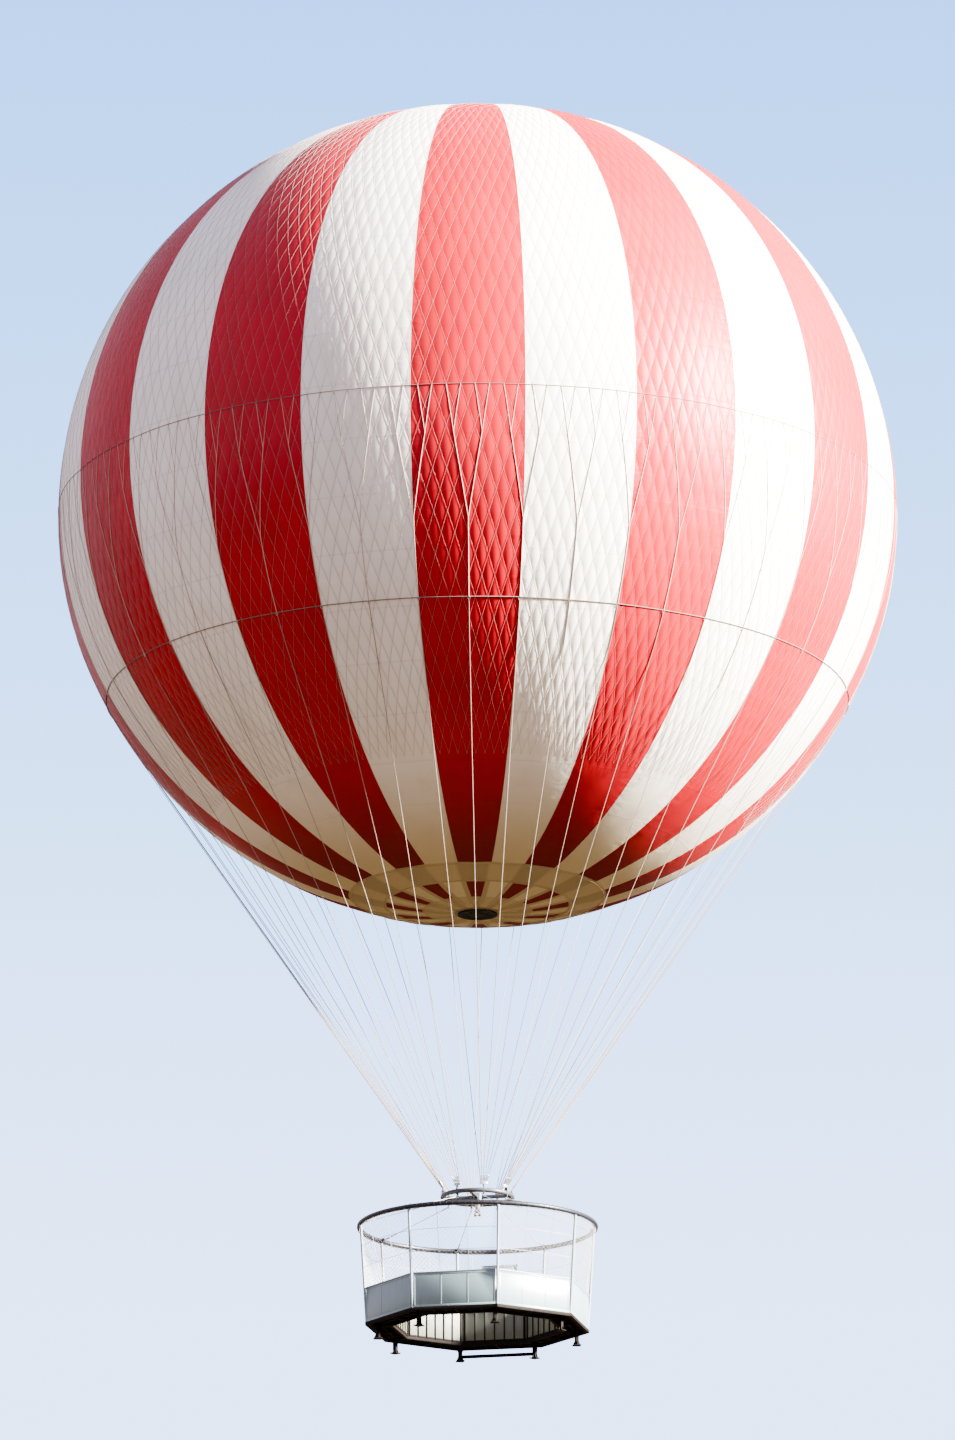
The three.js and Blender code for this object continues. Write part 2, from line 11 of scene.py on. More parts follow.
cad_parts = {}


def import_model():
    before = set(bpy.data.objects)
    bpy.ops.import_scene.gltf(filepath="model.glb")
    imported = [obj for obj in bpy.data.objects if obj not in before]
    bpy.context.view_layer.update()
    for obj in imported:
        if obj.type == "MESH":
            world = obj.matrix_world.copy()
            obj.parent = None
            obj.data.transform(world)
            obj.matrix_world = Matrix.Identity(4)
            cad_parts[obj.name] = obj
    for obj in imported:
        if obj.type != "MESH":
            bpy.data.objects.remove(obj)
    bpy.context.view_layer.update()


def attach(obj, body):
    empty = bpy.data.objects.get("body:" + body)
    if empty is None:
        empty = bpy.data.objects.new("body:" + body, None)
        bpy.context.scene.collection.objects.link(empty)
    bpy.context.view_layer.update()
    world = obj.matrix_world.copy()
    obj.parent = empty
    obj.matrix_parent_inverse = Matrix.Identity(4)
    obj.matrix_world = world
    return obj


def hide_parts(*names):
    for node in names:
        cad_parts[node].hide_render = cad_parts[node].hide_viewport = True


# A tethered passenger gas balloon: striped envelope with its net, suspension lines, load ring and gondola.
# Metres, +Z up, origin at the envelope's centre. Azimuths are degrees from -Y towards +X.

logging.basicConfig(level=logging.INFO, format="%(message)s")
LOG = logging.getLogger("balloon")

Colour = tuple[float, float, float]
Span = tuple[float, float]
Stops = Sequence[tuple[float, Colour]]
UP = Vector((0.0, 0.0, 1.0))
SIDE_AZIMUTHS = tuple(45.0 * k for k in range(8))
CORNER_AZIMUTHS = tuple(22.5 + 45.0 * k for k in range(8))


class Body(Enum):
    """The bodies that a piece can ride on."""

    BALLOON = "balloon"
    VALVE = "valve"
    SWIVEL = "swivel"
    GATE = "gate"


class Slot(Enum):
    """The record's material slots."""

    GORE_RED = "gore_red"
    GORE_WHITE = "gore_white"
    FABRIC_BEIGE = "fabric_beige"
    ROPE = "rope"
    PORT_CAP = "port_cap"
    VALVE_METAL = "valve_metal"
    DARK_STEEL = "dark_steel"
    SWIVEL_STEEL = "swivel_steel"
    FRAME_PAINT = "frame_paint"
    DECK_PLATE = "deck_plate"
    PANEL_WHITE = "panel_white"


def outward(azimuth: float) -> Vector:
    """The level unit vector that points away from the axis at an azimuth."""
    turn = math.radians(azimuth)
    return Vector((math.sin(turn), -math.cos(turn), 0.0))


def sideways(azimuth: float) -> Vector:
    """The level unit vector along a side that faces an azimuth."""
    turn = math.radians(azimuth)
    return Vector((math.cos(turn), math.sin(turn), 0.0))


def around(azimuth: float, radius: float, height: float) -> Vector:
    """A point from its azimuth, its distance from the axis and its height."""
    return outward(azimuth) * radius + UP * height


def ordered(first: float, second: float) -> Span:
    """Two numbers with the lower one first."""
    return min(first, second), max(first, second)


def ramp(low: float, high: float, value: float) -> float:
    """A smooth rise from 0 at low to 1 at high."""
    share = min(1.0, max(0.0, (value - low) / (high - low)))
    return share * share * (3.0 - 2.0 * share)


class Value:
    """A shader socket in an expression: each operator adds a Math node."""

    def __init__(self, graph: "Graph", socket: bpy.types.NodeSocket | None) -> None:
        """Wraps an output socket of a graph's node.

        Args:
            graph: the graph that holds the node.
            socket: the node's output, or None where the node has none.
        """
        self.graph = graph
        self.socket = socket

    def combine(self, operation: str, *others: "Value | float") -> "Value":
        """Joins this value and others in one Math node.

        Args:
            operation: the Math node's operation.
            others: the node's other inputs, as values or numbers.

        Returns:
            The node's result.
        """
        inputs = dict(enumerate((self, *others)))
        return self.graph.node("ShaderNodeMath", {"operation": operation}, inputs)

    def reflected(self, operation: str, other: "Value | float") -> "Value":
        """Joins a number on the left with this value on the right.

        Args:
            operation: the Math node's operation.
            other: the left-hand number.

        Returns:
            The node's result.
        """
        return self.graph.node("ShaderNodeMath", {"operation": operation}, {0: other, 1: self})

    def __add__(self, other: "Value | float") -> "Value":
        """self + other."""
        return self.combine("ADD", other)

    def __radd__(self, other: "Value | float") -> "Value":
        """other + self."""
        return self.reflected("ADD", other)

    def __sub__(self, other: "Value | float") -> "Value":
        """self - other."""
        return self.combine("SUBTRACT", other)

    def __rsub__(self, other: "Value | float") -> "Value":
        """other - self."""
        return self.reflected("SUBTRACT", other)

    def __mul__(self, other: "Value | float") -> "Value":
        """self * other."""
        return self.combine("MULTIPLY", other)

    def __rmul__(self, other: "Value | float") -> "Value":
        """other * self."""
        return self.reflected("MULTIPLY", other)

    def __truediv__(self, other: "Value | float") -> "Value":
        """self / other."""
        return self.combine("DIVIDE", other)

    def __pow__(self, other: "Value | float") -> "Value":
        """self ** other."""
        return self.combine("POWER", other)

    def sine(self) -> "Value":
        """The sine of this value in radians."""
        return self.combine("SINE")

    def size(self) -> "Value":
        """This value without its sign."""
        return self.combine("ABSOLUTE")

    def fraction(self) -> "Value":
        """What is left past the whole number below."""
        return self.combine("FRACT")

    def rising(self, low: float, high: float) -> "Value":
        """A smooth 0 to 1 between two numbers.

        Args:
            low: where the rise starts.
            high: where it ends; a number below low makes a fall.

        Returns:
            The eased value.
        """
        settings = {"interpolation_type": "SMOOTHSTEP"}
        ends = (low, high, 0.0, 1.0) if low < high else (high, low, 1.0, 0.0)
        return self.graph.node("ShaderNodeMapRange", settings, dict(enumerate((self, *ends))))


class Graph:
    """A node tree that is built from expressions."""

    def __init__(self, owner: bpy.types.Material | bpy.types.World) -> None:
        """Starts an empty tree.

        Args:
            owner: the material or world that holds it.
        """
        owner.use_nodes = True
        self.tree = owner.node_tree
        self.tree.nodes.clear()

    def feed(self, socket: bpy.types.NodeSocket, value: Value | float | Colour) -> None:
        """Links a value to a socket, or sets a number or colour on it.

        Args:
            socket: the input.
            value: a Value, a number or a tuple.
        """
        if isinstance(value, Value):
            self.tree.links.new(value.socket, socket)
        elif isinstance(value, tuple) and socket.type == "RGBA":
            socket.default_value = (*value, 1.0)
        else:
            socket.default_value = value

    def node(
        self, kind: str, settings: dict | None = None, inputs: dict | None = None, output: int = 0
    ) -> Value:
        """Adds a node.

        Args:
            kind: the node's type.
            settings: its properties, and a ramp's stops under "stops".
            inputs: values or links by socket name or number.
            output: the number of the output that is wanted.

        Returns:
            That output, or an empty Value where the node has none.
        """
        made = self.tree.nodes.new(kind)
        for name, value in (settings or {}).items():
            if name == "stops":
                self.set_stops(made.color_ramp, value)
            else:
                setattr(made, name, value)
        for key, value in (inputs or {}).items():
            self.feed(made.inputs[key], value)
        return Value(self, made.outputs[output] if made.outputs else None)

    def set_stops(self, stops: bpy.types.ColorRamp, wanted: Stops) -> None:
        """Sets a ramp's stops.

        Args:
            stops: the ramp.
            wanted: places and colours in order.
        """
        for stop, (place, colour) in zip((stops.elements[0], stops.elements[1]), (wanted[0], wanted[-1])):
            stop.position, stop.color = place, (*colour, 1.0)
        for place, colour in wanted[1:-1]:
            stops.elements.new(place).color = (*colour, 1.0)

    def place(self, stretch: Colour = (1.0, 1.0, 1.0)) -> Value:
        """The piece's own coordinates in metres, stretched along its axes.

        Args:
            stretch: the factor along each axis.

        Returns:
            The coordinates.
        """
        raw = self.node("ShaderNodeTexCoord", output=3)
        return self.node("ShaderNodeVectorMath", {"operation": "MULTIPLY"}, {0: raw, 1: stretch})

    def attribute(self, name: str) -> Value:
        """A number that the mesh carries on its points."""
        return self.node("ShaderNodeAttribute", {"attribute_name": name}, output=2)

    def noise(self, place: Value, scale: float, detail: float = 3.0, roughness: float = 0.5) -> Value:
        """Cloudy noise about 0.5.

        Args:
            place: the coordinates.
            scale: waves a metre.
            detail: how many finer layers it has.
            roughness: how strong those layers are.

        Returns:
            The noise.
        """
        inputs = {"Vector": place, "Scale": scale, "Detail": detail, "Roughness": roughness}
        return self.node("ShaderNodeTexNoise", inputs=inputs)

    def mix(self, share: Value | float, first: Value | Colour, second: Value | Colour) -> Value:
        """A colour between two.

        Args:
            share: 0 for the first, 1 for the second.
            first: a colour or Value.
            second: a colour or Value.

        Returns:
            The mixed colour.
        """
        return self.node("ShaderNodeMix", {"data_type": "RGBA"}, {0: share, 6: first, 7: second}, output=2)

    def bump(self, height: Value, normal: Value | None = None) -> Value:
        """A bent normal from a height in metres.

        Args:
            height: the height.
            normal: the normal to start from, if any.

        Returns:
            The normal.
        """
        inputs = {"Strength": 1.0, "Distance": 1.0, "Height": height}
        if normal is not None:
            inputs["Normal"] = normal
        return self.node("ShaderNodeBump", inputs=inputs)

    def surface(self, **sockets: Value | float) -> Value:
        """Adds the Principled shader and shows it.

        Args:
            sockets: values by the socket's name, with _ for a space.

        Returns:
            The shader.
        """
        inputs = {name.replace("_", " "): value for name, value in sockets.items()}
        shader = self.node("ShaderNodeBsdfPrincipled", inputs=inputs)
        self.show(shader)
        return shader

    def show(self, shader: Value) -> None:
        """Makes a shader the material's surface."""
        self.node("ShaderNodeOutputMaterial", {"is_active_output": True}, {"Surface": shader})


class Finish:
    """Something that makes a material once and then hands out the same one."""

    name: str

    def dress(self, graph: Graph) -> None:
        """Fills the material's node tree."""
        raise NotImplementedError

    def material(self) -> bpy.types.Material:
        """The material, made on first use."""
        known = bpy.data.materials.get(self.name)
        if known is None:
            known = bpy.data.materials.new(self.name)
            self.dress(Graph(known))
        return known


@dataclass(frozen=True)
class CoatedFabric(Finish):
    """Coated envelope cloth with sewn widths, puckers at the seams and the print of the net."""

    name: str
    colour: Colour
    shade: Colour
    soil: Colour
    # The foot colour makes the cloth darker and warmer towards the bottom: painted shade and warm bounce
    # light.
    foot: Colour
    roughness: float = 0.44
    width: float = 1.46

    def dress(self, graph: Graph) -> None:
        """Fills the cloth's node tree."""
        place = graph.place()
        seam, climb = graph.attribute("seam"), graph.attribute("climb")
        rise, fall = graph.attribute("net_rise"), graph.attribute("net_fall")
        quilt = graph.attribute("quilt")
        cloud = graph.noise(place, 0.30, 3.0)
        blotch = graph.noise(place, 2.2, 5.0, 0.6)
        grain = graph.noise(place, 60.0, 2.0)
        streak = graph.noise(graph.place((1.0, 1.0, 0.10)), 1.7, 4.0, 0.6)
        joint = (0.5 - ((climb / self.width).fraction() - 0.5).size()) * self.width
        tape = seam.rising(0.034, 0.028)
        lap = joint.rising(0.026, 0.020)
        stitch = (seam - 0.024).size().rising(0.006, 0.002) + (joint - 0.014).size().rising(0.005, 0.002)
        hollow = ((rise * math.pi).sine() * (fall * math.pi).sine()).size()
        low, high = climb.rising(8.4, 3.2), climb.rising(27.0, 32.0)
        tone = graph.mix((cloud - 0.32).rising(0.0, 0.36), self.colour, self.shade)
        tone = graph.mix((blotch - 0.40).rising(0.0, 0.5) * 0.35, tone, self.shade)
        tone = graph.mix((streak - 0.46).rising(0.0, 0.4) * 0.30, tone, self.soil)
        # Painted shade and warm bounce light: towards the bottom the tone turns to the foot colour.
        tone = graph.mix(low, tone, self.foot)
        tone = graph.mix(graph.attribute("red_below") * 0.45, tone, self.soil)
        tone = graph.mix(tape * 0.16 + lap * 0.09, tone, self.soil)
        tone = graph.mix(stitch * 0.35, tone, self.soil)
        tone = graph.mix((1.0 - hollow).rising(0.60, 1.0) * quilt * 0.05, tone, self.soil)
        pucker = graph.noise(graph.place((1.0, 1.0, 3.0)), 2.3, 3.0) * seam.rising(0.55, 0.04)
        height = hollow ** 0.7 * quilt * 0.018 + pucker * 0.014 + cloud * 0.05
        height = height + tape * 0.0012 + lap * 0.0010 + stitch * -0.0008 + grain * 0.00025
        rough = self.roughness + (blotch - 0.5) * 0.16 + tape * 0.05 + (low + high) * 0.35
        graph.surface(Base_Color=tone, Roughness=rough, Normal=graph.bump(height), Specular_IOR_Level=0.25)


@dataclass(frozen=True)
class Rope(Finish):
    """Laid rope with a twist along it."""

    name: str
    colour: Colour
    shade: Colour
    roughness: float = 0.8
    pitch: float = 0.045

    def dress(self, graph: Graph) -> None:
        """Fills the rope's node tree."""
        place = graph.place()
        along = graph.attribute("along") * (2.0 * math.pi / self.pitch)
        cosine, sine = graph.attribute("turn_cos"), graph.attribute("turn_sin")
        twist = along.sine() * cosine + (along + math.pi / 2.0).sine() * sine
        fibre = graph.noise(place, 160.0, 3.0)
        age = graph.noise(place, 0.9, 3.0)
        # Painted shade in the grooves: darker where the twist sinks between the strands, plus random age
        # mottling.
        worn = twist.rising(-0.2, -0.9) * 0.55 + (age - 0.5).rising(0.0, 0.4) * 0.4
        tone = graph.mix(worn, self.colour, self.shade)
        rough = self.roughness + (fibre - 0.5) * 0.2
        height = twist * 0.0011 + fibre * 0.0006
        graph.surface(Base_Color=tone, Roughness=rough, Normal=graph.bump(height))


@dataclass(frozen=True)
class Paint(Finish):
    """Sprayed metal with orange peel, rubbed patches and dirt that runs down."""

    name: str
    colour: Colour
    worn: Colour
    dirt: Colour
    roughness: float = 0.42
    wear: float = 0.3
    metallic: float = 0.0
    coat: float = 0.15
    gloss: float = 0.5

    def dress(self, graph: Graph) -> None:
        """Fills the paint's node tree."""
        place = graph.place()
        peel = graph.noise(place, 90.0, 2.0)
        rub = graph.noise(place, 5.0, 6.0, 0.65)
        cloud = graph.noise(place, 0.8, 3.0)
        run = graph.noise(graph.place((1.0, 1.0, 0.12)), 9.0, 5.0, 0.6)
        scuff = (rub - 0.62).rising(0.0, 0.10) * self.wear
        tone = graph.mix((cloud - 0.4).rising(0.0, 0.3) * 0.25, self.colour, self.dirt)
        tone = graph.mix((run - 0.52).rising(0.0, 0.22) * 0.38, tone, self.dirt)
        tone = graph.mix(scuff, tone, self.worn)
        rough = self.roughness + (rub - 0.5) * 0.25 + scuff * 0.2
        height = peel * 0.00012 + scuff * -0.0003 + cloud * 0.002
        graph.surface(
            Base_Color=tone,
            Roughness=rough,
            Normal=graph.bump(height),
            Metallic=self.metallic,
            Coat_Weight=self.coat,
            Specular_IOR_Level=self.gloss,
        )


@dataclass(frozen=True)
class BareMetal(Finish):
    """Brushed or galvanised metal."""

    name: str
    colour: Colour
    shade: Colour
    roughness: float = 0.34
    spangle: float = 24.0

    def dress(self, graph: Graph) -> None:
        """Fills the metal's node tree."""
        place = graph.place()
        brush = graph.noise(graph.place((1.0, 1.0, 14.0)), 40.0, 3.0, 0.6)
        patch = graph.node("ShaderNodeTexVoronoi", inputs={"Vector": place, "Scale": self.spangle}, output=1)
        grey = graph.node("ShaderNodeSeparateColor", inputs={0: patch})
        cloud = graph.noise(place, 2.0, 4.0)
        share = grey * 0.35 + (cloud - 0.4).rising(0.0, 0.3) * 0.4 + (brush - 0.5) * 0.3
        tone = graph.mix(share.rising(0.0, 1.0), self.colour, self.shade)
        rough = self.roughness + (grey - 0.5) * 0.14 + (brush - 0.5) * 0.2
        graph.surface(Base_Color=tone, Roughness=rough, Normal=graph.bump(brush * 0.00015), Metallic=0.9)


@dataclass(frozen=True)
class TreadPlate(Finish):
    """Deck plate with raised lozenges, worn where people walk."""

    name: str
    colour: Colour
    worn: Colour
    grime: Colour = (0.05, 0.045, 0.04)
    pitch: float = 0.06

    def dress(self, graph: Graph) -> None:
        """Fills the deck's node tree."""
        place = graph.place()
        parts = [graph.node("ShaderNodeSeparateXYZ", inputs={0: place}, output=k) for k in (0, 1)]
        first = ((parts[0] + parts[1]) * (math.pi / self.pitch)).sine().size()
        second = ((parts[0] - parts[1]) * (math.pi / self.pitch)).sine().size()
        lozenge = (first ** 3.0 - second ** 3.0).size().rising(0.45, 0.75)
        rub = graph.noise(place, 1.6, 5.0, 0.6)
        grit = graph.noise(place, 45.0, 4.0)
        worn = (rub - 0.45).rising(0.0, 0.25) * (lozenge * 0.6 + 0.4)
        tone = graph.mix(worn, self.colour, self.worn)
        tone = graph.mix((grit - 0.5).rising(0.0, 0.3) * 0.4, tone, self.grime)
        height = lozenge * 0.0016 + grit * 0.0004
        rough = 0.62 - worn * 0.2 + (grit - 0.5) * 0.2
        graph.surface(Base_Color=tone, Roughness=rough, Normal=graph.bump(height), Metallic=0.35)


@dataclass(frozen=True)
class Rubber(Finish):
    """Dull rubber or moulded plastic with dust on it."""

    name: str
    colour: Colour
    dust: Colour = (0.32, 0.30, 0.27)

    def dress(self, graph: Graph) -> None:
        """Fills the rubber's node tree."""
        place = graph.place()
        grain = graph.noise(place, 120.0, 3.0)
        film = graph.noise(place, 3.0, 5.0, 0.6)
        tone = graph.mix((film - 0.5).rising(0.0, 0.3) * 0.35, self.colour, self.dust)
        height = grain * 0.0004
        rough = 0.7 + (film - 0.5) * 0.3
        graph.surface(Base_Color=tone, Roughness=rough, Normal=graph.bump(height), Specular_IOR_Level=0.2)


# The last colour of each cloth is its foot colour: painted shade and warm bounce light near the bottom.
RED_CLOTH = CoatedFabric(
    "red_cloth", (0.45, 0.012, 0.023), (0.38, 0.010, 0.019), (0.22, 0.017, 0.020), (0.17, 0.010, 0.008)
)
WHITE_CLOTH = CoatedFabric(
    "white_cloth", (0.90, 0.87, 0.83), (0.83, 0.80, 0.75), (0.54, 0.49, 0.42), (0.53, 0.44, 0.27)
)
BEIGE_CLOTH = CoatedFabric(
    "beige_cloth", (0.47, 0.38, 0.225), (0.39, 0.31, 0.18), (0.22, 0.17, 0.09), (0.44, 0.355, 0.205)
)
NET_ROPE = Rope("net_rope", (0.46, 0.35, 0.31), (0.27, 0.20, 0.17), pitch=0.05)
FOOT_ROPE = Rope("foot_rope", (0.55, 0.46, 0.40), (0.33, 0.27, 0.22), pitch=0.06)
BAND_ROPE = Rope("band_rope", (0.22, 0.17, 0.16), (0.13, 0.10, 0.09), pitch=0.07)
# Near-black lacing cord, kept as dark as the top ring: painted shade.
LACING_CORD = Rope("lacing_cord", (0.060, 0.060, 0.070), (0.03, 0.03, 0.035), pitch=0.04)
LINE_ROPE = Rope("line_rope", (0.33, 0.275, 0.24), (0.21, 0.17, 0.14), pitch=0.09)
SAFETY_CORD = Rope("safety_cord", (0.72, 0.72, 0.70), (0.42, 0.42, 0.40), pitch=0.03)
# The top ring's near-black blue-grey is painted shade: the darkness of the ring's shaded underside put into
# its colour.
RING_SHADE_PAINT = Paint(
    "ring_shade_paint", (0.012, 0.014, 0.022), (0.11, 0.11, 0.12), (0.030, 0.027, 0.026), wear=0.4
)
FRAME_PAINT = Paint(
    "frame_paint_brown", (0.009, 0.0065, 0.0055), (0.040, 0.032, 0.026), (0.015, 0.011, 0.008),
    roughness=0.7, wear=0.25, coat=0.0, gloss=0.12,
)
FLANGE_PAINT = Paint(
    "flange_paint", (0.26, 0.21, 0.12), (0.40, 0.38, 0.34), (0.13, 0.11, 0.07), 0.5, 0.3
)
# Dark blue-grey panel paint: painted shade and painted blue skylight in the colour of white panels.
PANEL_PAINT = Paint(
    "panel_paint", (0.205, 0.290, 0.312), (0.19, 0.24, 0.25), (0.15, 0.18, 0.17), 0.36, 0.25
)
RAIL_PAINT = Paint(
    "rail_paint", (0.24, 0.28, 0.31), (0.21, 0.22, 0.23), (0.15, 0.155, 0.15), 0.38, 0.4
)
# Dark green-grey sheet on the inner wall's side that faces the opening: painted shade inside the opening.
BACK_SHADE_PAINT = Paint(
    "back_shade_paint", (0.125, 0.138, 0.112), (0.21, 0.20, 0.17), (0.075, 0.072, 0.055), 0.5, 0.3
)
# Near-black brown soffit under the deck: painted shade under the deck.
SOFFIT_PAINT = Paint(
    "soffit_paint", (0.060, 0.045, 0.034), (0.20, 0.17, 0.14), (0.12, 0.10, 0.08), 0.6, 0.4
)
HOIST_PAINT = Paint(
    "hoist_paint", (0.050, 0.054, 0.064), (0.24, 0.24, 0.25), (0.050, 0.046, 0.040), 0.42, 0.5
)
DECK_METAL = TreadPlate("deck_metal", (0.20, 0.185, 0.17), (0.42, 0.41, 0.40))
ZINC = BareMetal("zinc", (0.62, 0.63, 0.64), (0.40, 0.41, 0.42), 0.42)
STEEL = BareMetal("machined_steel", (0.58, 0.57, 0.55), (0.36, 0.35, 0.34), 0.28, 60.0)
ALUMINIUM = BareMetal("valve_aluminium", (0.76, 0.77, 0.78), (0.56, 0.57, 0.58), 0.36, 12.0)
BLACK_RUBBER = Rubber("black_rubber", (0.022, 0.021, 0.020))
PORT_PLASTIC = Rubber("port_plastic", (0.014, 0.012, 0.010), (0.045, 0.038, 0.030))


def circle(radius: float, sides: int, turn: float = 0.0) -> list[Span]:
    """A round section.

    Args:
        radius: its radius.
        sides: how many sides it has.
        turn: the first point's angle in degrees.

    Returns:
        The points in order.
    """
    angles = [math.radians(turn) + 2.0 * math.pi * k / sides for k in range(sides)]
    return [(radius * math.cos(angle), radius * math.sin(angle)) for angle in angles]


def rounded(width: float, height: float, corner: float, steps: int = 2) -> list[Span]:
    """A rectangle's section with rounded corners.

    Args:
        width: its full width.
        height: its full height.
        corner: the corners' radius.
        steps: how many edges round each corner.

    Returns:
        The points in order.
    """
    points = []
    for quarter, (x, y) in enumerate(((1, 1), (-1, 1), (-1, -1), (1, -1))):
        centre = (x * (width / 2.0 - corner), y * (height / 2.0 - corner))
        for k in range(steps + 1):
            angle = math.pi / 2.0 * (quarter + k / steps)
            points.append((centre[0] + corner * math.cos(angle), centre[1] + corner * math.sin(angle)))
    return points


def diamond_strands(columns: int, rows: int) -> Iterator[list[tuple[int, int]]]:
    """The crossings that each strand of a framed diamond net passes.

    Args:
        columns: how many diamonds go along the frame.
        rows: how many go up it.

    Yields:
        The column and row of each crossing of one strand.
    """
    for lean in (-1, 1):
        for start in range(-rows, columns + 1):
            cells = [(start + j if lean > 0 else start + rows - j, j) for j in range(rows + 1)]
            inside = [(column, row) for column, row in cells if 0 <= column <= columns]
            if len(inside) > 1:
                yield inside


@dataclass
class Shape:
    """The points and faces of one piece while it is made, with the numbers that its finish reads."""

    points: list[Vector] = field(default_factory=list)
    faces: list[tuple[int, ...]] = field(default_factory=list)
    marks: dict[str, list[float]] = field(default_factory=dict)

    def mark(self, name: str, values: Sequence[float]) -> None:
        """Keeps numbers for the newest points; older points without any get 0.

        Args:
            name: the number's name.
            values: one number for each of the newest points.
        """
        kept = self.marks.setdefault(name, [])
        kept.extend([0.0] * (len(self.points) - len(values) - len(kept)))
        kept.extend(values)

    def grid(self, rows: Sequence[Sequence[Vector]], wrap: bool = False, loop: bool = False) -> int:
        """Adds a sheet of faces between rows of points.

        Args:
            rows: the rows, all of one length.
            wrap: whether each row closes on itself.
            loop: whether the last row meets the first.

        Returns:
            The number of the first new point.
        """
        start, width = len(self.points), len(rows[0])
        for row in rows:
            self.points.extend(row)
        for i in range(len(rows) if loop else len(rows) - 1):
            low, high = start + i * width, start + ((i + 1) % len(rows)) * width
            for k in range(width if wrap else width - 1):
                n = (k + 1) % width
                self.faces.append((low + k, low + n, high + n, high + k))
        return start

    def sweep(
        self,
        path: Sequence[Vector],
        section: Sequence[Span],
        up: Vector | None = None,
        closed: bool = False,
        ease: float = 0.0,
        scales: Sequence[float] | None = None,
        rope: bool = False,
    ) -> None:
        """Adds a section carried along a path, with mitred bends and closed ends.

        Args:
            path: the path's points.
            section: the section, sideways and upwards.
            up: which way is up for the section; without it the section doesn't twist.
            closed: whether the path closes on itself.
            ease: how far the ends are chamfered.
            scales: the section's size at each point of the path.
            rope: whether to keep the numbers that a rope's twist needs.
        """
        count = len(path)
        sizes = list(scales) if scales else [1.0] * count
        rings, lengths, length = [], [], 0.0
        side = None
        for i, point in enumerate(path):
            before = (point - path[i - 1]).normalized() if i or closed else None
            after = (path[(i + 1) % count] - point).normalized() if i < count - 1 or closed else None
            first, last = before or after, after or before
            ahead = (first + last).normalized()
            if up is not None:
                side = ahead.cross(up).normalized()
            elif side is None:
                side = ahead.cross(UP if abs(ahead.z) < 0.9 else Vector((0.0, 1.0, 0.0))).normalized()
            else:
                side = (side - ahead * side.dot(ahead)).normalized()
            rise = side.cross(ahead)
            bend = first.cross(last)
            across = bend.cross(ahead).normalized() if bend.length > 1e-5 else None
            stretch = 1.0 / max(0.35, ahead.dot(last)) - 1.0
            ring = []
            for x, y in section:
                offset = (side * x + rise * y) * sizes[i]
                if across is not None:
                    offset = offset + across * offset.dot(across) * stretch
                ring.append(point + offset)
            if i:
                length += (point - path[i - 1]).length
            rings.append(ring)
            lengths.append(length)
        if ease and not closed:
            for end, inner in ((0, 1), (-1, -2)):
                along = (path[inner] - path[end]).normalized()
                outer = [point + along * ease for point in rings[end]]
                reach = max(math.hypot(x, y) for x, y in section)
                tip = [path[end] + (point - path[end]) * (1.0 - ease / reach) for point in rings[end]]
                rings[end] = outer
                rings.insert(0 if end == 0 else len(rings), tip)
                lengths.insert(0 if end == 0 else len(lengths), lengths[end])
        start = self.grid(rings, wrap=True, loop=closed)
        if not closed:
            width = len(section)
            self.faces.append(tuple(range(start + width - 1, start - 1, -1)))
            self.faces.append(tuple(range(len(self.points) - width, len(self.points))))
        if rope:
            turns = [2.0 * math.pi * k / len(section) for k in range(len(section))]
            self.mark("along", [length for length in lengths for _ in turns])
            self.mark("turn_cos", [math.cos(turn) for _ in lengths for turn in turns])
            self.mark("turn_sin", [math.sin(turn) for _ in lengths for turn in turns])

    def turned(
        self,
        profile: Sequence[Span],
        steps: int,
        frame: Matrix | None = None,
        hollow: bool = False,
        first: float = 0.0,
        span: float = 360.0,
    ) -> None:
        """Adds a profile turned about an axis.

        Args:
            profile: distances from the axis and heights, from the bottom up.
            steps: how many faces go round.
            frame: where the axis stands; the part's own axis without it.
            hollow: whether the profile closes on itself away from the axis.
            first: the first azimuth.
            span: how many degrees it is turned.
        """
        whole = span >= 360.0
        count = steps if whole else steps + 1
        rows = []
        for radius, height in profile:
            ring = [around(first + span * k / steps, radius, height) for k in range(count)]
            rows.append([frame @ point for point in ring] if frame else ring)
        self.grid(rows, wrap=whole, loop=hollow)

    def plate(
        self, centre: Vector, along: Vector, up: Vector, size: Vector, corner: float, ease: float
    ) -> None:
        """Adds a block with rounded long edges and chamfered ends.

        Args:
            centre: its middle.
            along: the direction of its length.
            up: the direction of its height.
            size: its length, width and height.
            corner: the radius of the long edges.
            ease: the chamfer at the ends.
        """
        half = along.normalized() * (size.x / 2.0)
        self.sweep([centre - half, centre + half], rounded(size.y, size.z, corner), up, ease=ease)

    def bolt(self, base: Vector, axis: Vector, size: float) -> None:
        """Adds a washer and a hexagon head.

        Args:
            base: where the washer lies.
            axis: the way the head stands.
            size: the head's width.
        """
        reach, thick = size * 0.95, size * 0.14
        washer = [(0.0, 0.0), (reach, 0.0), (reach, thick), (0.0, thick)]
        self.turned(washer, 12, axis_frame(base, axis))
        head = [base + axis * thick, base + axis * (size * 0.72)]
        self.sweep(head, circle(size * 0.56, 6), ease=size * 0.08)

    def rivet(self, base: Vector, axis: Vector, radius: float) -> None:
        """Adds a low domed head.

        Args:
            base: where it lies.
            axis: the way it stands.
            radius: its radius.
        """
        dome = ((1.0, 0.0), (0.8, 0.32), (0.4, 0.5), (0.0, 0.55))
        profile = [(radius * reach, radius * height) for reach, height in dome]
        self.turned(profile, 8, axis_frame(base, axis))

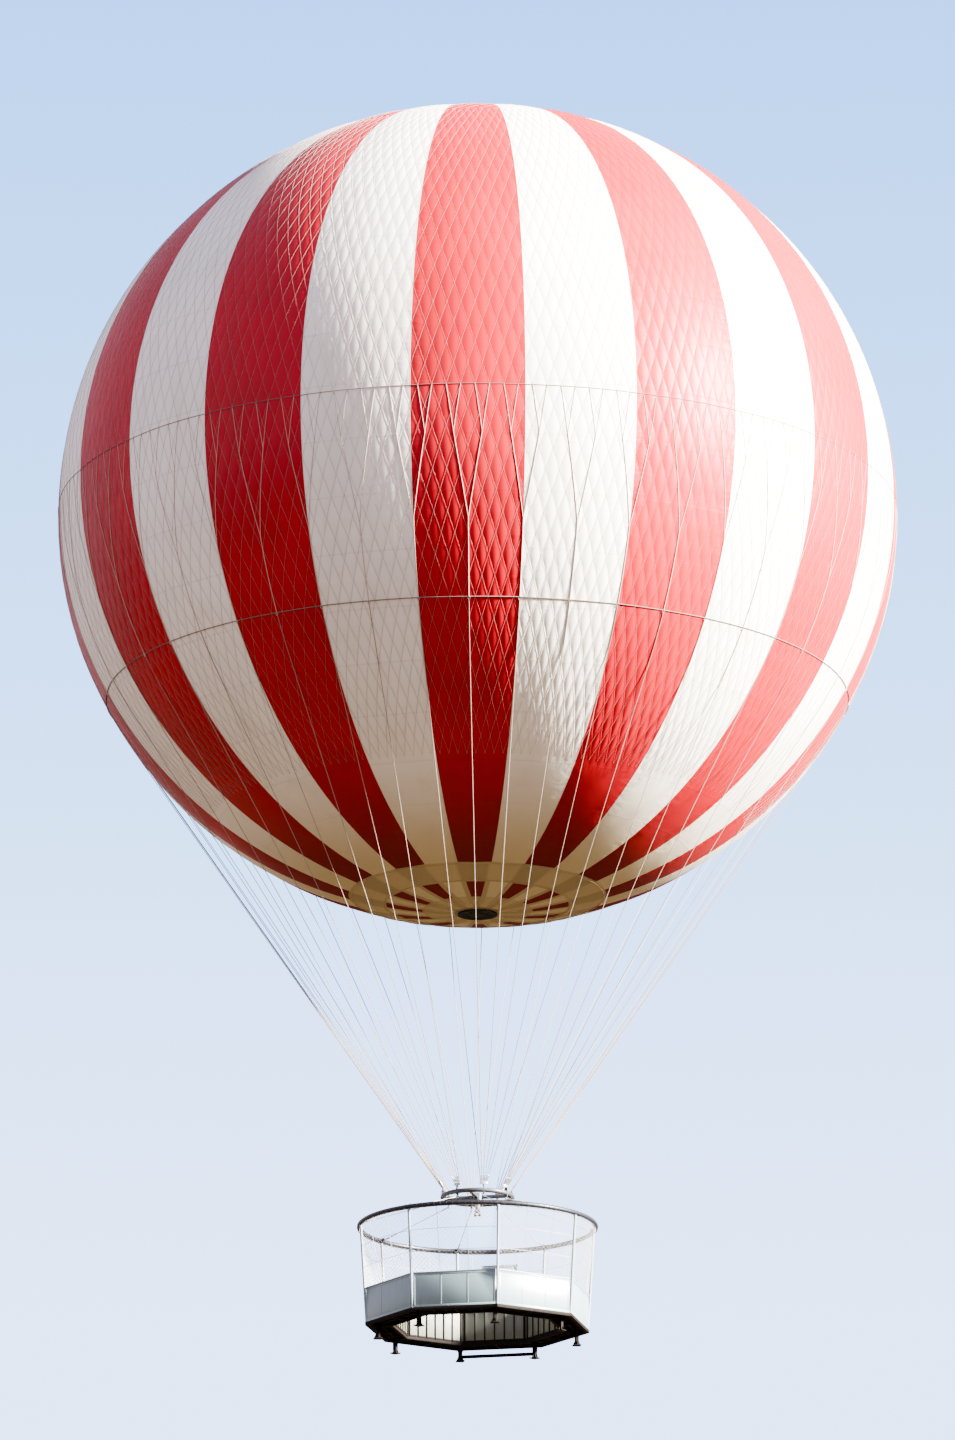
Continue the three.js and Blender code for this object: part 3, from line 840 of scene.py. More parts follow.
    def piece(
        self,
        name: str,
        body: Body,
        finish: Finish,
        slot: Slot,
        replaces: Sequence[str] = (),
        sharp: float = 38.0,
    ) -> bpy.types.Object:
        """Makes the gathered shape a piece of the balloon.

        Args:
            name: the piece's name.
            body: the body that it rides on.
            finish: its finish.
            slot: the record's slot that the finish stands for; not used.
            replaces: the nodes that it stands for.
            sharp: the angle from which an edge is sharp.

        Returns:
            The piece.
        """
        mesh = bpy.data.meshes.new(name)
        mesh.from_pydata([tuple(point) for point in self.points], [], self.faces)
        for mark, values in self.marks.items():
            layer = mesh.attributes.new(mark, "FLOAT", "POINT")
            layer.data.foreach_set("value", values + [0.0] * (len(self.points) - len(values)))
        work = bmesh.new()
        work.from_mesh(mesh)
        bmesh.ops.remove_doubles(work, verts=work.verts, dist=2e-6)
        bmesh.ops.recalc_face_normals(work, faces=work.faces)
        work.to_mesh(mesh)
        work.free()
        mesh.shade_smooth()
        mesh.set_sharp_from_angle(angle=math.radians(sharp))
        mesh.materials.append(finish.material())
        made = bpy.data.objects.new(name, mesh)
        bpy.context.scene.collection.objects.link(made)
        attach(made, body.value)
        if replaces:
            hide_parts(*replaces)
        triangles = sum(len(face.vertices) - 2 for face in mesh.polygons)
        LOG.info("%s: %d triangles on %s", name, triangles, body.value)
        return made


def axis_frame(base: Vector, axis: Vector) -> Matrix:
    """A frame whose Z lies along an axis.

    Args:
        base: its origin.
        axis: its Z direction.

    Returns:
        The frame's matrix.
    """
    return Matrix.Translation(base) @ axis.to_track_quat("Z", "Y").to_matrix().to_4x4()


@dataclass
class Envelope:
    """The striped gas envelope with its collar, patches, gas port and crown."""

    radius: float = 11.05
    half_height: float = 10.85
    gores: int = 24
    gore_turn: float = 15.0
    first_seam: float = 3.75
    lower_end: float = 7.2
    upper_end: float = 172.8
    collar: Span = (12.4, 17.7)
    print_turn: float = 1.875
    print_above: float = 6.0
    print_below: float = 5.68
    port_radius: float = 0.6
    crown_radius: float = 0.62
    pillow: float = 0.024
    columns: int = 8
    rows: int = 92
    band_steps: int = 192

    def bulge(self, azimuth: float, polar: float) -> float:
        """How far the cloth stands out between two seams."""
        share = ((azimuth - self.first_seam) % self.gore_turn) / self.gore_turn
        fade = ramp(6.0, 30.0, polar) * ramp(176.0, 150.0, polar) if polar < 176.0 else 0.0
        return self.pillow * math.sin(math.pi * share) ** 0.8 * fade

    def point(self, azimuth: float, polar: float, lift: float = 0.0) -> Vector:
        """A point on or above the cloth.

        Args:
            azimuth: its azimuth.
            polar: its angle from the bottom pole.
            lift: its distance from the cloth.

        Returns:
            The point.
        """
        angle = math.radians(polar)
        r, z = self.radius * math.sin(angle), -self.half_height * math.cos(angle)
        normal = Vector((math.sin(angle) / self.radius, -math.cos(angle) / self.half_height)).normalized()
        distance = lift + self.bulge(azimuth, polar)
        return around(azimuth, r + normal.x * distance, z + normal.y * distance)

    def polar_at(self, radius: float) -> float:
        """The polar angle near the bottom pole at a distance from the axis."""
        return math.degrees(math.asin(radius / self.radius))

    def level_at(self, radius: float) -> float:
        """How far from the envelope's middle its cloth lies at a distance from the axis."""
        return self.half_height * math.sqrt(1.0 - (radius / self.radius) ** 2)

    def print_depth(self, polar: float) -> float:
        """How deeply the net prints the cloth: most below the equator, nothing near the poles."""
        ends = ramp(36.0, 44.0, polar) * ramp(151.0, 149.0, polar)
        return ends * (0.6 + 0.3 * ramp(96.0, 66.0, polar))

    def gore(self, shape: Shape, number: int) -> None:
        """Adds one gore with the numbers for its cloth.

        Args:
            shape: the shape to add to.
            number: the gore's place, from 0.
        """
        start = self.first_seam + self.gore_turn * number
        rows: list[list[Vector]] = []
        marks: dict[str, list[float]] = {
            name: [] for name in ("seam", "climb", "net_rise", "net_fall", "quilt")
        }
        for i in range(self.rows + 1):
            polar = self.lower_end + (self.upper_end - self.lower_end) * i / self.rows
            row = []
            for k in range(self.columns + 1):
                azimuth = start + self.gore_turn * k / self.columns
                row.append(self.point(azimuth, polar))
                near = min(k, self.columns - k) / self.columns * math.radians(self.gore_turn)
                across = (azimuth - self.print_turn / 2.0) / self.print_turn
                up = (polar - 90.0) / (self.print_above if polar > 90.0 else self.print_below)
                marks["seam"].append(near * self.radius * math.sin(math.radians(polar)))
                marks["climb"].append(math.radians(polar) * self.radius)
                marks["net_rise"].append(across + up)
                marks["net_fall"].append(across - up)
                marks["quilt"].append(self.print_depth(polar))
            rows.append(row)
        shape.grid(rows)
        for name, values in marks.items():
            shape.mark(name, values)

    def stripes(self) -> None:
        """Builds the red and the white gores."""
        for colour, finish, slot, first in (
            ("red", RED_CLOTH, Slot.GORE_RED, 0),
            ("white", WHITE_CLOTH, Slot.GORE_WHITE, 1),
        ):
            shape = Shape()
            for number in range(first, self.gores, 2):
                self.gore(shape, number)
            nodes = [f"gore_{number + 1:02d}_{colour}" for number in range(first, self.gores, 2)]
            shape.piece(f"{colour}_gores", Body.BALLOON, finish, slot, nodes, sharp=60.0)

    def band(self, shape: Shape, start: float, end: float, lift: float, rows: int, edge: float = 0.0) -> None:
        """Adds a ring of cloth between two polar angles, with a turned hem at both edges.

        Args:
            shape: the shape to add to.
            start: the lower polar angle.
            end: the upper polar angle.
            lift: its height over the gores.
            rows: its rows of faces.
            edge: how thick the hem is.
        """
        steps = self.band_steps
        turns = [360.0 * k / steps for k in range(steps)]
        levels = [(start + (end - start) * i / rows, lift) for i in range(rows + 1)]
        if edge:
            levels = [(start, lift - edge), *levels, (end, lift - edge)]
        shape.grid([[self.point(turn, polar, high) for turn in turns] for polar, high in levels], wrap=True)
        width, count = math.radians(end - start) * self.radius, len(levels)
        seam = [min(i, count - 1 - i) / count * width for i in range(count) for _ in turns]
        shape.mark("seam", seam)
        # A climb of 0.5 puts these bands wholly in the foot colour, with its painted shade and bounce light.
        shape.mark("climb", [0.5] * (steps * count))
        gores = [int((turn - self.first_seam) % 360.0 / self.gore_turn) for turn in turns]
        shape.mark("red_below", [float(number % 2 == 0) for number in gores] * count)

    def seam_tapes(
        self, shape: Shape, width: float, start: float, step: float, count: int, lift: float, facing: float
    ) -> None:
        """Adds a short tape over the end of each seam.

        Args:
            shape: the shape to add to.
            width: the tapes' width.
            start: the polar angle of their first point.
            step: the polar angle from point to point.
            count: how many points they have.
            lift: their height over the gores.
            facing: the polar angle whose direction they face.
        """
        for k in range(self.gores):
            azimuth = self.first_seam + self.gore_turn * k
            path = [self.point(azimuth, start + step * j, lift) for j in range(count)]
            shape.sweep(path, rounded(width, 0.006, 0.002, 1), self.point(azimuth, facing).normalized())

    def patches(self) -> None:
        """Builds the collar, its straps, the bottom patch and the crown patch."""
        shape = Shape()
        self.band(shape, *self.collar, 0.006, 12, 0.006)
        for polar in (self.collar[0] + 0.35, self.collar[1] - 0.35):
            path = [self.point(360.0 * k / self.band_steps, polar, 0.012) for k in range(self.band_steps)]
            shape.sweep(path, circle(0.011, 6), closed=True)
        shape.piece("collar", Body.BALLOON, BEIGE_CLOTH, Slot.FABRIC_BEIGE, ["bottom_collar"])
        shape = Shape()
        self.band(shape, self.polar_at(self.port_radius - 0.03), self.lower_end + 0.25, 0.004, 10, 0.004)
        self.seam_tapes(shape, 0.13, 4.6, 0.4, 21, 0.006, 8.0)
        shape.piece("bottom_patch_cloth", Body.BALLOON, BEIGE_CLOTH, Slot.FABRIC_BEIGE, ["bottom_patch"])
        shape = Shape()
        top = 180.0 - self.polar_at(self.crown_radius - 0.04)
        self.band(shape, self.upper_end - 0.3, top, 0.005, 10, 0.005)
        self.seam_tapes(shape, 0.10, 168.0, 0.45, 19, 0.008, 172.0)
        shape.piece("crown_patch_cloth", Body.BALLOON, WHITE_CLOTH, Slot.GORE_WHITE, ["crown_patch"])

    def port(self) -> None:
        """Builds the gas port's flange, cap, handle and bolts."""
        z = -self.level_at(self.port_radius)
        shape = Shape()
        rim, drop = self.port_radius - 0.001, z - 0.025
        profile = [(0.50, z + 0.02), (rim, z + 0.02), (rim, drop + 0.004)]
        profile += [(rim - 0.004, drop), (0.525, drop)]
        shape.turned([*profile, (0.52, drop + 0.003), (0.50, drop + 0.003)], 72, hollow=True)
        for k in range(24):
            shape.bolt(around(15.0 * k, 0.562, drop), -UP, 0.020)
        shape.piece("port_flange", Body.BALLOON, FLANGE_PAINT, Slot.PORT_CAP)
        shape = Shape()
        low = z - 0.060
        dome = [(0.518, drop + 0.01), (0.520, low + 0.012), (0.508, low), (0.42, low), (0.41, low + 0.008)]
        shape.turned([*dome, (0.24, low + 0.012), (0.23, low), (0.0, low)], 72)
        for azimuth in CORNER_AZIMUTHS:
            arm = [around(azimuth, r, low + 0.006) for r in (0.25, 0.40)]
            shape.sweep(arm, rounded(0.03, 0.016, 0.005), UP, ease=0.004)
        shape.piece("port_cap_cover", Body.BALLOON, PORT_PLASTIC, Slot.PORT_CAP, ["gas_port"])

    def build(self) -> None:
        """Builds the envelope."""
        self.stripes()
        self.patches()
        self.port()


@dataclass
class CrownValve:
    """The gas valve at the crown: fixed ring and bridge, and the sprung lid."""

    envelope: Envelope
    rim: float = 0.619
    rise: float = 0.05
    throat: float = 0.40
    bolts: int = 36
    arms: int = 3

    @property
    def z(self) -> float:
        """The height of the ring's seat on the cloth."""
        return self.envelope.level_at(self.envelope.crown_radius)

    def ring(self) -> None:
        """Builds the ring, its bolts and the bridge over it."""
        z, shape = self.z, Shape()
        top = self.rise
        profile = [(0.50, -0.03), (self.rim, -0.03), (self.rim, top - 0.006), (self.rim - 0.006, top)]
        profile += [(self.throat + 0.006, top), (self.throat, top - 0.006), (self.throat, 0.03), (0.50, 0.03)]
        shape.turned([(r, z + h) for r, h in profile], 96, hollow=True)
        for k in range(self.bolts):
            if k % (self.bolts // self.arms):
                shape.bolt(around(360.0 / self.bolts * k, 0.575, z + top), UP, 0.018)
        for k in range(self.arms):
            azimuth = 360.0 / self.arms * k
            arm = [around(azimuth, r, z + 0.0595) for r in (0.05, 0.56)]
            shape.sweep(arm, rounded(0.04, 0.0205, 0.004), UP, ease=0.004)
            shape.bolt(around(azimuth, 0.53, z + 0.07), UP, 0.016)
        hub = [(0.021, 0.049), (0.056, 0.049), (0.06, 0.053), (0.06, 0.106), (0.056, 0.11), (0.021, 0.11)]
        shape.turned([(r, z + h) for r, h in hub], 32, hollow=True)
        shape.piece("valve_ring_and_bridge", Body.BALLOON, ALUMINIUM, Slot.VALVE_METAL, ["valve_ring"])

    def lid(self) -> None:
        """Builds the lid with its seal, stem, nut and ribs."""
        z, shape = self.z, Shape()
        seat = 0.0297
        profile = [(0.0, seat - 0.025), (0.455, seat - 0.025), (0.47, seat - 0.014), (0.47, seat - 0.002)]
        profile += [(0.465, seat), (0.39, seat), (0.37, seat - 0.009), (0.10, seat - 0.009), (0.07, seat)]
        profile += [(0.0155, seat), (0.015, 0.195), (0.030, 0.195), (0.030, 0.211), (0.026, 0.215)]
        profile += [(0.0, 0.215)]
        shape.turned([(r, z + h) for r, h in profile], 72)
        for k in range(12):
            rib = [around(15.0 + 30.0 * k, r, z + seat - 0.006) for r in (0.08, 0.38)]
            shape.sweep(rib, rounded(0.012, 0.010, 0.003), UP)
        shape.piece("valve_lid_plate", Body.VALVE, ALUMINIUM, Slot.VALVE_METAL, ["valve_lid"])
        shape = Shape()
        profile = [(0.405, 0.0296), (0.405, 0.027), (0.46, 0.027), (0.46, 0.0296)]
        shape.turned([(r, z + h) for r, h in profile], 72)
        shape.piece("valve_seal", Body.VALVE, BLACK_RUBBER, Slot.PORT_CAP)

    def build(self) -> None:
        """Builds the valve."""
        self.ring()
        self.lid()


@dataclass
class Net:
    """The rope net that lies over the envelope and gathers into the suspension lines."""

    envelope: Envelope
    cord: float = 0.0023
    knot: float = 0.0060
    columns: int = 192
    rows_above: int = 20
    rows_below: int = 18
    hem: float = 61.6
    belt_steps: int = 288
    lines: int = 48
    crown_zones: tuple[tuple[int, float, float, int, float], ...] = (
        (96, 150.0, 1.875, 8, 1.875),
        (48, 165.0, 1.65, 4, 3.75),
    )

    def strands(
        self, shape: Shape, columns: int, start: float, step: float, rows: int, offset: float
    ) -> None:
        """Adds crossing strands that make diamonds.

        Args:
            shape: the shape to add to.
            columns: how many diamonds go round.
            start: the lowest polar angle.
            step: the polar step of half a diamond.
            rows: how many half diamonds go up.
            offset: the first knot's azimuth.
        """
        pitch = 360.0 / columns
        section = circle(self.cord, 4, 45.0)
        for k in range(columns):
            for lean in (-0.5, 0.5):
                path = []
                for j in range(2 * rows + 1):
                    azimuth = offset + pitch * (k + lean * j / 2.0)
                    path.append(self.envelope.point(azimuth, start + step * j / 2.0, self.cord + 0.001))
                shape.sweep(path, section, rope=True)

    def diamonds(self) -> None:
        """Builds the net's two halves, with coarser fields towards the crown."""
        shape = Shape()
        step, first = self.envelope.print_below / 2.0, self.envelope.print_turn / 2.0
        self.strands(shape, self.columns, 90.0 - step * self.rows_below, step, self.rows_below, first)
        shape.piece("lower_net", Body.BALLOON, NET_ROPE, Slot.ROPE)
        shape = Shape()
        self.strands(shape, self.columns, 90.0, self.envelope.print_above / 2.0, self.rows_above, first)
        for zone in self.crown_zones:
            self.strands(shape, *zone)
        shape.piece("upper_net", Body.BALLOON, NET_ROPE, Slot.ROPE)

    def knots(self) -> None:
        """Builds the knots where the strands cross."""
        shape, pitch = Shape(), self.envelope.print_turn
        for j in range(-self.rows_below, self.rows_above + 1):
            polar = 90.0 + j * (self.envelope.print_above if j > 0 else self.envelope.print_below) / 2.0
            shift = pitch / 2.0 if j % 2 == 0 else 0.0
            for k in range(self.columns):
                azimuth = shift + pitch * k
                centre = self.envelope.point(azimuth, polar, self.cord * 1.6)
                self.add_knot(shape, centre, azimuth)
        shape.piece("net_knots", Body.BALLOON, NET_ROPE, Slot.ROPE, sharp=80.0)

    def add_knot(self, shape: Shape, centre: Vector, azimuth: float) -> None:
        """Adds one small eight-faced knot.

        Args:
            shape: the shape to add to.
            centre: its middle.
            azimuth: its azimuth.
        """
        out = centre.normalized()
        side = sideways(azimuth) * self.knot
        rise = out.cross(sideways(azimuth)) * (self.knot * 1.5)
        base = len(shape.points)
        shape.points += [centre + side, centre + rise, centre - side, centre - rise]
        shape.points += [centre + out * self.knot * 0.8, centre - out * self.knot * 0.6]
        for k in range(4):
            n = (k + 1) % 4
            shape.faces += [(base + k, base + n, base + 4), (base + n, base + k, base + 5)]

    def belt(self, shape: Shape, polar: float, radius: float, sides: int) -> None:
        """Adds a rope that lies round the envelope.

        Args:
            shape: the shape to add to.
            polar: its polar angle.
            radius: its radius.
            sides: how many sides it has.
        """
        turns = [360.0 * k / self.belt_steps for k in range(self.belt_steps)]
        path = [self.envelope.point(turn, polar, radius) for turn in turns]
        shape.sweep(path, circle(radius, sides), closed=True, rope=True)

    def belts(self) -> None:
        """Builds the equator rope, the crown rope and the hem rope."""
        shape = Shape()
        self.belt(shape, 90.0, 0.008, 6)
        self.belt(shape, 171.6, 0.015, 6)
        shape.piece("net_belts", Body.BALLOON, BAND_ROPE, Slot.ROPE)
        shape = Shape()
        self.belt(shape, self.hem, 0.011, 8)
        shape.piece("hem_rope", Body.BALLOON, BAND_ROPE, Slot.ROPE, ["net_hem_rope"])

    def crow_feet(self) -> None:
        """Builds the ropes that gather four net columns into each suspension line."""
        shape, column = Shape(), self.envelope.print_turn
        levels = [
            ([(-1.5, -1.0), (-0.5, -1.0), (0.5, 1.0), (1.5, 1.0)], 90.0, 83.5, 0.0060),
            ([(-1.0, 0.0), (1.0, 0.0)], 83.5, 72.0, 0.0078),
            ([(0.0, 0.0)], 72.0, self.hem, 0.0100),
        ]
        for k in range(self.lines):
            apex = self.envelope.first_seam + 360.0 / self.lines * k
            for pairs, high, low, radius in levels:
                steps = max(2, round((high - low) / 2.6))
                shares = [j / steps for j in range(steps + 1)]
                for start, end in pairs:
                    path = [
                        self.envelope.point(
                            apex + column * (start + (end - start) * share),
                            high + (low - high) * share,
                            radius + 0.001,
                        )
                        for share in shares
                    ]
                    shape.sweep(path, circle(radius, 5), rope=True)
        shape.piece("crow_feet", Body.BALLOON, FOOT_ROPE, Slot.ROPE)

    def build(self) -> None:
        """Builds the net."""
        self.diamonds()
        self.knots()
        self.belts()
        self.crow_feet()


@dataclass
class Rigging:
    """The suspension lines, the load ring that gathers them, and the tether's swivel."""

    envelope: Envelope
    net: Net
    ring_z: float = -18.4
    ring_radius: float = 0.9
    tube: float = 0.06
    tangent: float = 56.3
    line: float = 0.009
    pitch: float = 0.03
    offsets: tuple[float, ...] = (-18.75, -11.25, -3.75, 3.75, 11.25, 18.75)

    def fan(self, number: int, azimuth: float) -> None:
        """Builds the six lines that meet at one lug, with their eyes, sleeves and plate.

        Args:
            number: the fan's place, from 1.
            azimuth: the lug's azimuth.
        """
        base = around(azimuth, self.ring_radius, self.ring_z + 0.15)
        side, out = sideways(azimuth), outward(azimuth)
        count = len(self.offsets)
        shifts = [side * ((k - (count - 1) / 2.0) * self.pitch) for k in range(count)]
        lines, metal = Shape(), Shape()
        for shift, offset in zip(shifts, self.offsets):
            start = base + UP * 0.062 + shift
            meet = azimuth + offset
            touch = self.envelope.point(meet, self.tangent, self.line)
            path = [start, start.lerp(touch, 0.33), start.lerp(touch, 0.66), touch]
            path += [self.envelope.point(meet, self.tangent + 1.3 * j, self.line) for j in range(1, 5)]
            lines.sweep(path, circle(self.line, 8), rope=True)
            away = (touch - start).normalized()
            metal.sweep([start + away * 0.04, start + away * 0.20], circle(0.0135, 10), ease=0.004)
            self.eye(metal, self.envelope.point(meet, self.net.hem - 0.15, 0.020), meet)
        nodes = [f"suspension_fan_{number}"]
        lines.piece(f"suspension_lines_{number}", Body.BALLOON, LINE_ROPE, Slot.ROPE, nodes)
        metal.plate(base + UP * 0.034, side, UP, Vector((0.200, 0.022, 0.064)), 0.008, 0.006)
        for shift in shifts:
            spot = base + shift + UP * 0.046
            metal.sweep([spot - out * 0.02, spot + out * 0.02], circle(0.008, 8), ease=0.002)
        metal.piece(f"fan_fittings_{number}", Body.BALLOON, ZINC, Slot.DARK_STEEL)

    def eye(self, shape: Shape, centre: Vector, azimuth: float) -> None:
        """Adds the steel ring where a line meets the net's hem.

        Args:
            shape: the shape to add to.
            centre: the ring's middle.
            azimuth: its azimuth.
        """
        side = sideways(azimuth)
        rise = centre.normalized().cross(side)
        path = [
            centre + side * (0.030 * math.cos(turn)) + rise * (0.042 * math.sin(turn))
            for turn in (2.0 * math.pi * k / 14 for k in range(14))
        ]
        shape.sweep(path, circle(0.0065, 6), centre.normalized(), closed=True)

    def load_ring(self) -> None:
        """Builds the ring, its cross beams, hub and lugs."""
        z, shape = self.ring_z, Shape()
        path = [around(5.0 * k, self.ring_radius, z) for k in range(72)]
        shape.sweep(path, circle(self.tube, 16), UP, closed=True)
        for azimuth in (0.0, 90.0):
            reach = outward(azimuth) * self.ring_radius
            shape.sweep([UP * z - reach, UP * z + reach], rounded(0.09, 0.09, 0.012, 3), UP)
        hub = [(0.0, -0.09), (0.122, -0.09), (0.13, -0.082), (0.13, 0.082), (0.122, 0.09), (0.07, 0.09)]
        hub += [(0.066, 0.105), (0.0, 0.105)]
        shape.turned([(r, z + h) for r, h in hub], 40)
        for azimuth in CORNER_AZIMUTHS:
            shape.bolt(around(azimuth, 0.098, z + 0.09), UP, 0.020)
            side, out = sideways(azimuth), outward(azimuth)
            centre = around(azimuth, self.ring_radius, z + 0.02)
            outline = rounded(0.09, 0.26, 0.042, 6)
            shape.sweep([centre - side * 0.012, centre + side * 0.012], outline, UP, ease=0.002)
            for height in (0.128, -0.086):
                spot = around(azimuth, self.ring_radius, z + height)
                shape.sweep([spot - side * 0.03, spot + side * 0.03], circle(0.011, 10), UP, ease=0.002)
            for turn in (-1.0, 1.0):
                gusset = around(azimuth, self.ring_radius - 0.055, z) + side * 0.012 * turn
                shape.plate(gusset, out, UP, Vector((0.06, 0.006, 0.09)), 0.002, 0.001)
        shape.piece("load_ring_steel", Body.BALLOON, HOIST_PAINT, Slot.DARK_STEEL, ["load_ring"])

    def swivel(self) -> None:
        """Builds the swivel that the tether pulls on, with its fork and pin."""
        top, shape, across = self.ring_z - 0.0903, Shape(), Vector((1.0, 0.0, 0.0))
        profile = [(0.0, -0.29), (0.066, -0.29), (0.07, -0.286), (0.07, -0.10), (0.075, -0.085)]
        profile += [(0.075, -0.078), (0.104, -0.062), (0.11, -0.056), (0.11, -0.034), (0.106, -0.031)]
        profile += [(0.106, -0.027), (0.11, -0.024), (0.11, -0.004), (0.106, 0.0), (0.0, 0.0)]
        shape.turned([(r, top + h) for r, h in profile], 48)
        for turn in (-1.0, 1.0):
            cheek = [across * (0.062 * turn + half) + UP * (top - 0.35) for half in (-0.028, 0.028)]
            shape.sweep(cheek, rounded(0.08, 0.138, 0.034, 6), UP, ease=0.003)
        shape.plate(UP * (top - 0.296), across, UP, Vector((0.178, 0.08, 0.03)), 0.006, 0.004)
        pin = [across * half + UP * (top - 0.385) for half in (-0.089, 0.089)]
        shape.sweep(pin, circle(0.02, 16), UP, ease=0.003)
        for azimuth in SIDE_AZIMUTHS:
            shape.bolt(around(azimuth, 0.09, top - 0.0615), -UP, 0.012)
        shape.piece("swivel_and_fork", Body.SWIVEL, STEEL, Slot.SWIVEL_STEEL, ["tether_swivel"])

    def build(self) -> None:
        """Builds the rigging."""
        for number, azimuth in enumerate(CORNER_AZIMUTHS, 1):
            self.fan(number, azimuth)
        self.load_ring()
        self.swivel()


@dataclass
class Gondola:
    """The eight-sided ring gondola with its top ring, screens, panels, deck, frame and gate."""

    floor: float = -21.78
    ring_radius: float = 3.045
    ring_height: float = 2.59
    tube: float = 0.06
    sling_head: Span = (0.9, -18.5453)
    corner: float = 22.5
    line: float = 2.687
    screen_foot: float = 0.89
    screen_head: float = 2.5277
    screen_edge: float = 22.3
    bar: float = 0.006
    net_mesh: float = 0.125
    net_cord: float = 0.0028
    rail: tuple[float, float, float, float] = (2.657, 2.718, 0.870, 0.910)
    panel: tuple[float, float, float] = (2.675, 2.700, 0.880)
    ends: Span = (-1.075, 1.06)
    post_foot: float = 2.88
    post: float = 0.035
    gate_facing: float = 180.0
    door: float = 0.425
    jamb: float = 0.05
    leaf: float = 0.42
    hinge_line: Span = (-0.4225, 2.712)
    hinge_levels: Span = (0.40, 1.70)
    foot_radius: float = 2.59

    def at(self, azimuth: float, along: float, out: float, height: float) -> Vector:
        """A point of the side that faces an azimuth.

        Args:
            azimuth: the side's azimuth.
            along: the distance along it from its middle.
            out: the distance from the axis.
            height: the height over the floor frame's top.

        Returns:
            The point.
        """
        return sideways(azimuth) * along + outward(azimuth) * out + UP * (self.floor + height)

    def beam(
        self,
        shape: Shape,
        azimuth: float,
        reach: Span,
        depth: Span,
        heights: Span,
        corner: float = 0.004,
    ) -> None:
        """Adds a member of a side that runs along it.

        Args:
            shape: the shape to add to.
            azimuth: the side's azimuth.
            reach: its start and end along the side.
            depth: its inner and outer distance from the axis.
            heights: its bottom and top.
            corner: the radius of its edges.
        """
        out, level = sum(depth) / 2.0, sum(heights) / 2.0
        path = [self.at(azimuth, along, out, level) for along in reach]
        section = rounded(depth[1] - depth[0], heights[1] - heights[0], corner)
        shape.sweep(path, section, UP, ease=min(0.003, corner))

    def stile(
        self,
        shape: Shape,
        azimuth: float,
        reach: Span,
        depth: Span,
        heights: Span,
        corner: float = 0.004,
    ) -> None:
        """Adds an upright member of a side.

        Args:
            shape: the shape to add to.
            azimuth: the side's azimuth.
            reach: its two faces along the side.
            depth: its inner and outer distance from the axis.
            heights: its bottom and top.
            corner: the radius of its edges.
        """
        along, out = sum(reach) / 2.0, sum(depth) / 2.0
        path = [self.at(azimuth, along, out, height) for height in heights]
        section = rounded(reach[1] - reach[0], depth[1] - depth[0], corner)
        shape.sweep(path, section, outward(azimuth), ease=min(0.003, corner))

    def screen(self, azimuth: float, local: float, share: float) -> Vector:
        """A point of the screen between a side's rail and the top ring.

        Args:
            azimuth: the side's azimuth.
            local: the azimuth from the side's middle.
            share: 0 at the rail, 1 under the ring.

        Returns:
            The point.
        """
        reach = self.line * math.tan(math.radians(self.corner)) * local / self.corner
        low = self.at(azimuth, reach, self.line, self.screen_foot)
        high = around(azimuth + local, self.ring_radius, self.floor + self.screen_head)
        return low.lerp(high, share)

    def top_ring(self) -> None:
        """Builds the top ring and its clamps, the slings and the lacing."""
        z, shape = self.floor + self.ring_height, Shape()
        path = [around(3.0 * k, self.ring_radius, z) for k in range(120)]
        shape.sweep(path, circle(self.tube, 16), UP, closed=True)
        for azimuth in CORNER_AZIMUTHS:
            for spread in (-1.6, 1.6):
                path = [around(azimuth + spread + 0.7 * j, self.ring_radius, z) for j in (-1, 0, 1)]
                shape.sweep(path, circle(self.tube + 0.006, 16), UP, ease=0.004)
            lug = around(azimuth, self.ring_radius - 0.05, z + 0.045)
            side = sideways(azimuth)
            half = side * 0.008
            shape.sweep([lug - half, lug + half], rounded(0.11, 0.08, 0.03, 4), UP, ease=0.002)
        shape.piece("top_ring", Body.BALLOON, RING_SHADE_PAINT, Slot.DARK_STEEL, ["top_ring_with_slings"])
        self.slings(z)
        self.lacing(z)

    def slings(self, z: float) -> None:
        """Builds the slings with their turnbuckles, sockets and shackles.

        Args:
            z: the top ring's height.
        """
        slings, metal = Shape(), Shape()
        for azimuth in CORNER_AZIMUTHS:
            high = around(azimuth, *self.sling_head)
            low = around(azimuth, self.ring_radius, z)
            run = (high - low).normalized()
            slings.sweep([low + run * 0.46, high - run * 0.16], circle(0.010, 8), rope=True)
            metal.sweep([low + run * 0.06, low + run * 0.15], circle(0.011, 8), ease=0.002)
            body = [low + run * along for along in (0.13, 0.16, 0.36, 0.39)]
            metal.sweep(body, circle(0.021, 10), scales=[0.6, 1.0, 1.0, 0.6])
            metal.sweep([low + run * 0.38, low + run * 0.50], circle(0.014, 10), ease=0.003)
            metal.sweep([high - run * 0.22, high - run * 0.04], circle(0.0175, 10), ease=0.004)
            side = sideways(azimuth)
            for turn in (-1.0, 1.0):
                fork = high + side * (0.020 * turn)
                metal.sweep([fork - side * 0.005, fork + side * 0.005], rounded(0.05, 0.068, 0.024, 5), UP)
            metal.sweep([high - side * 0.032, high + side * 0.032], circle(0.010, 10), UP, ease=0.002)
        slings.piece("sling_ropes", Body.BALLOON, ZINC, Slot.DARK_STEEL)
        metal.piece("sling_fittings", Body.BALLOON, ZINC, Slot.DARK_STEEL)

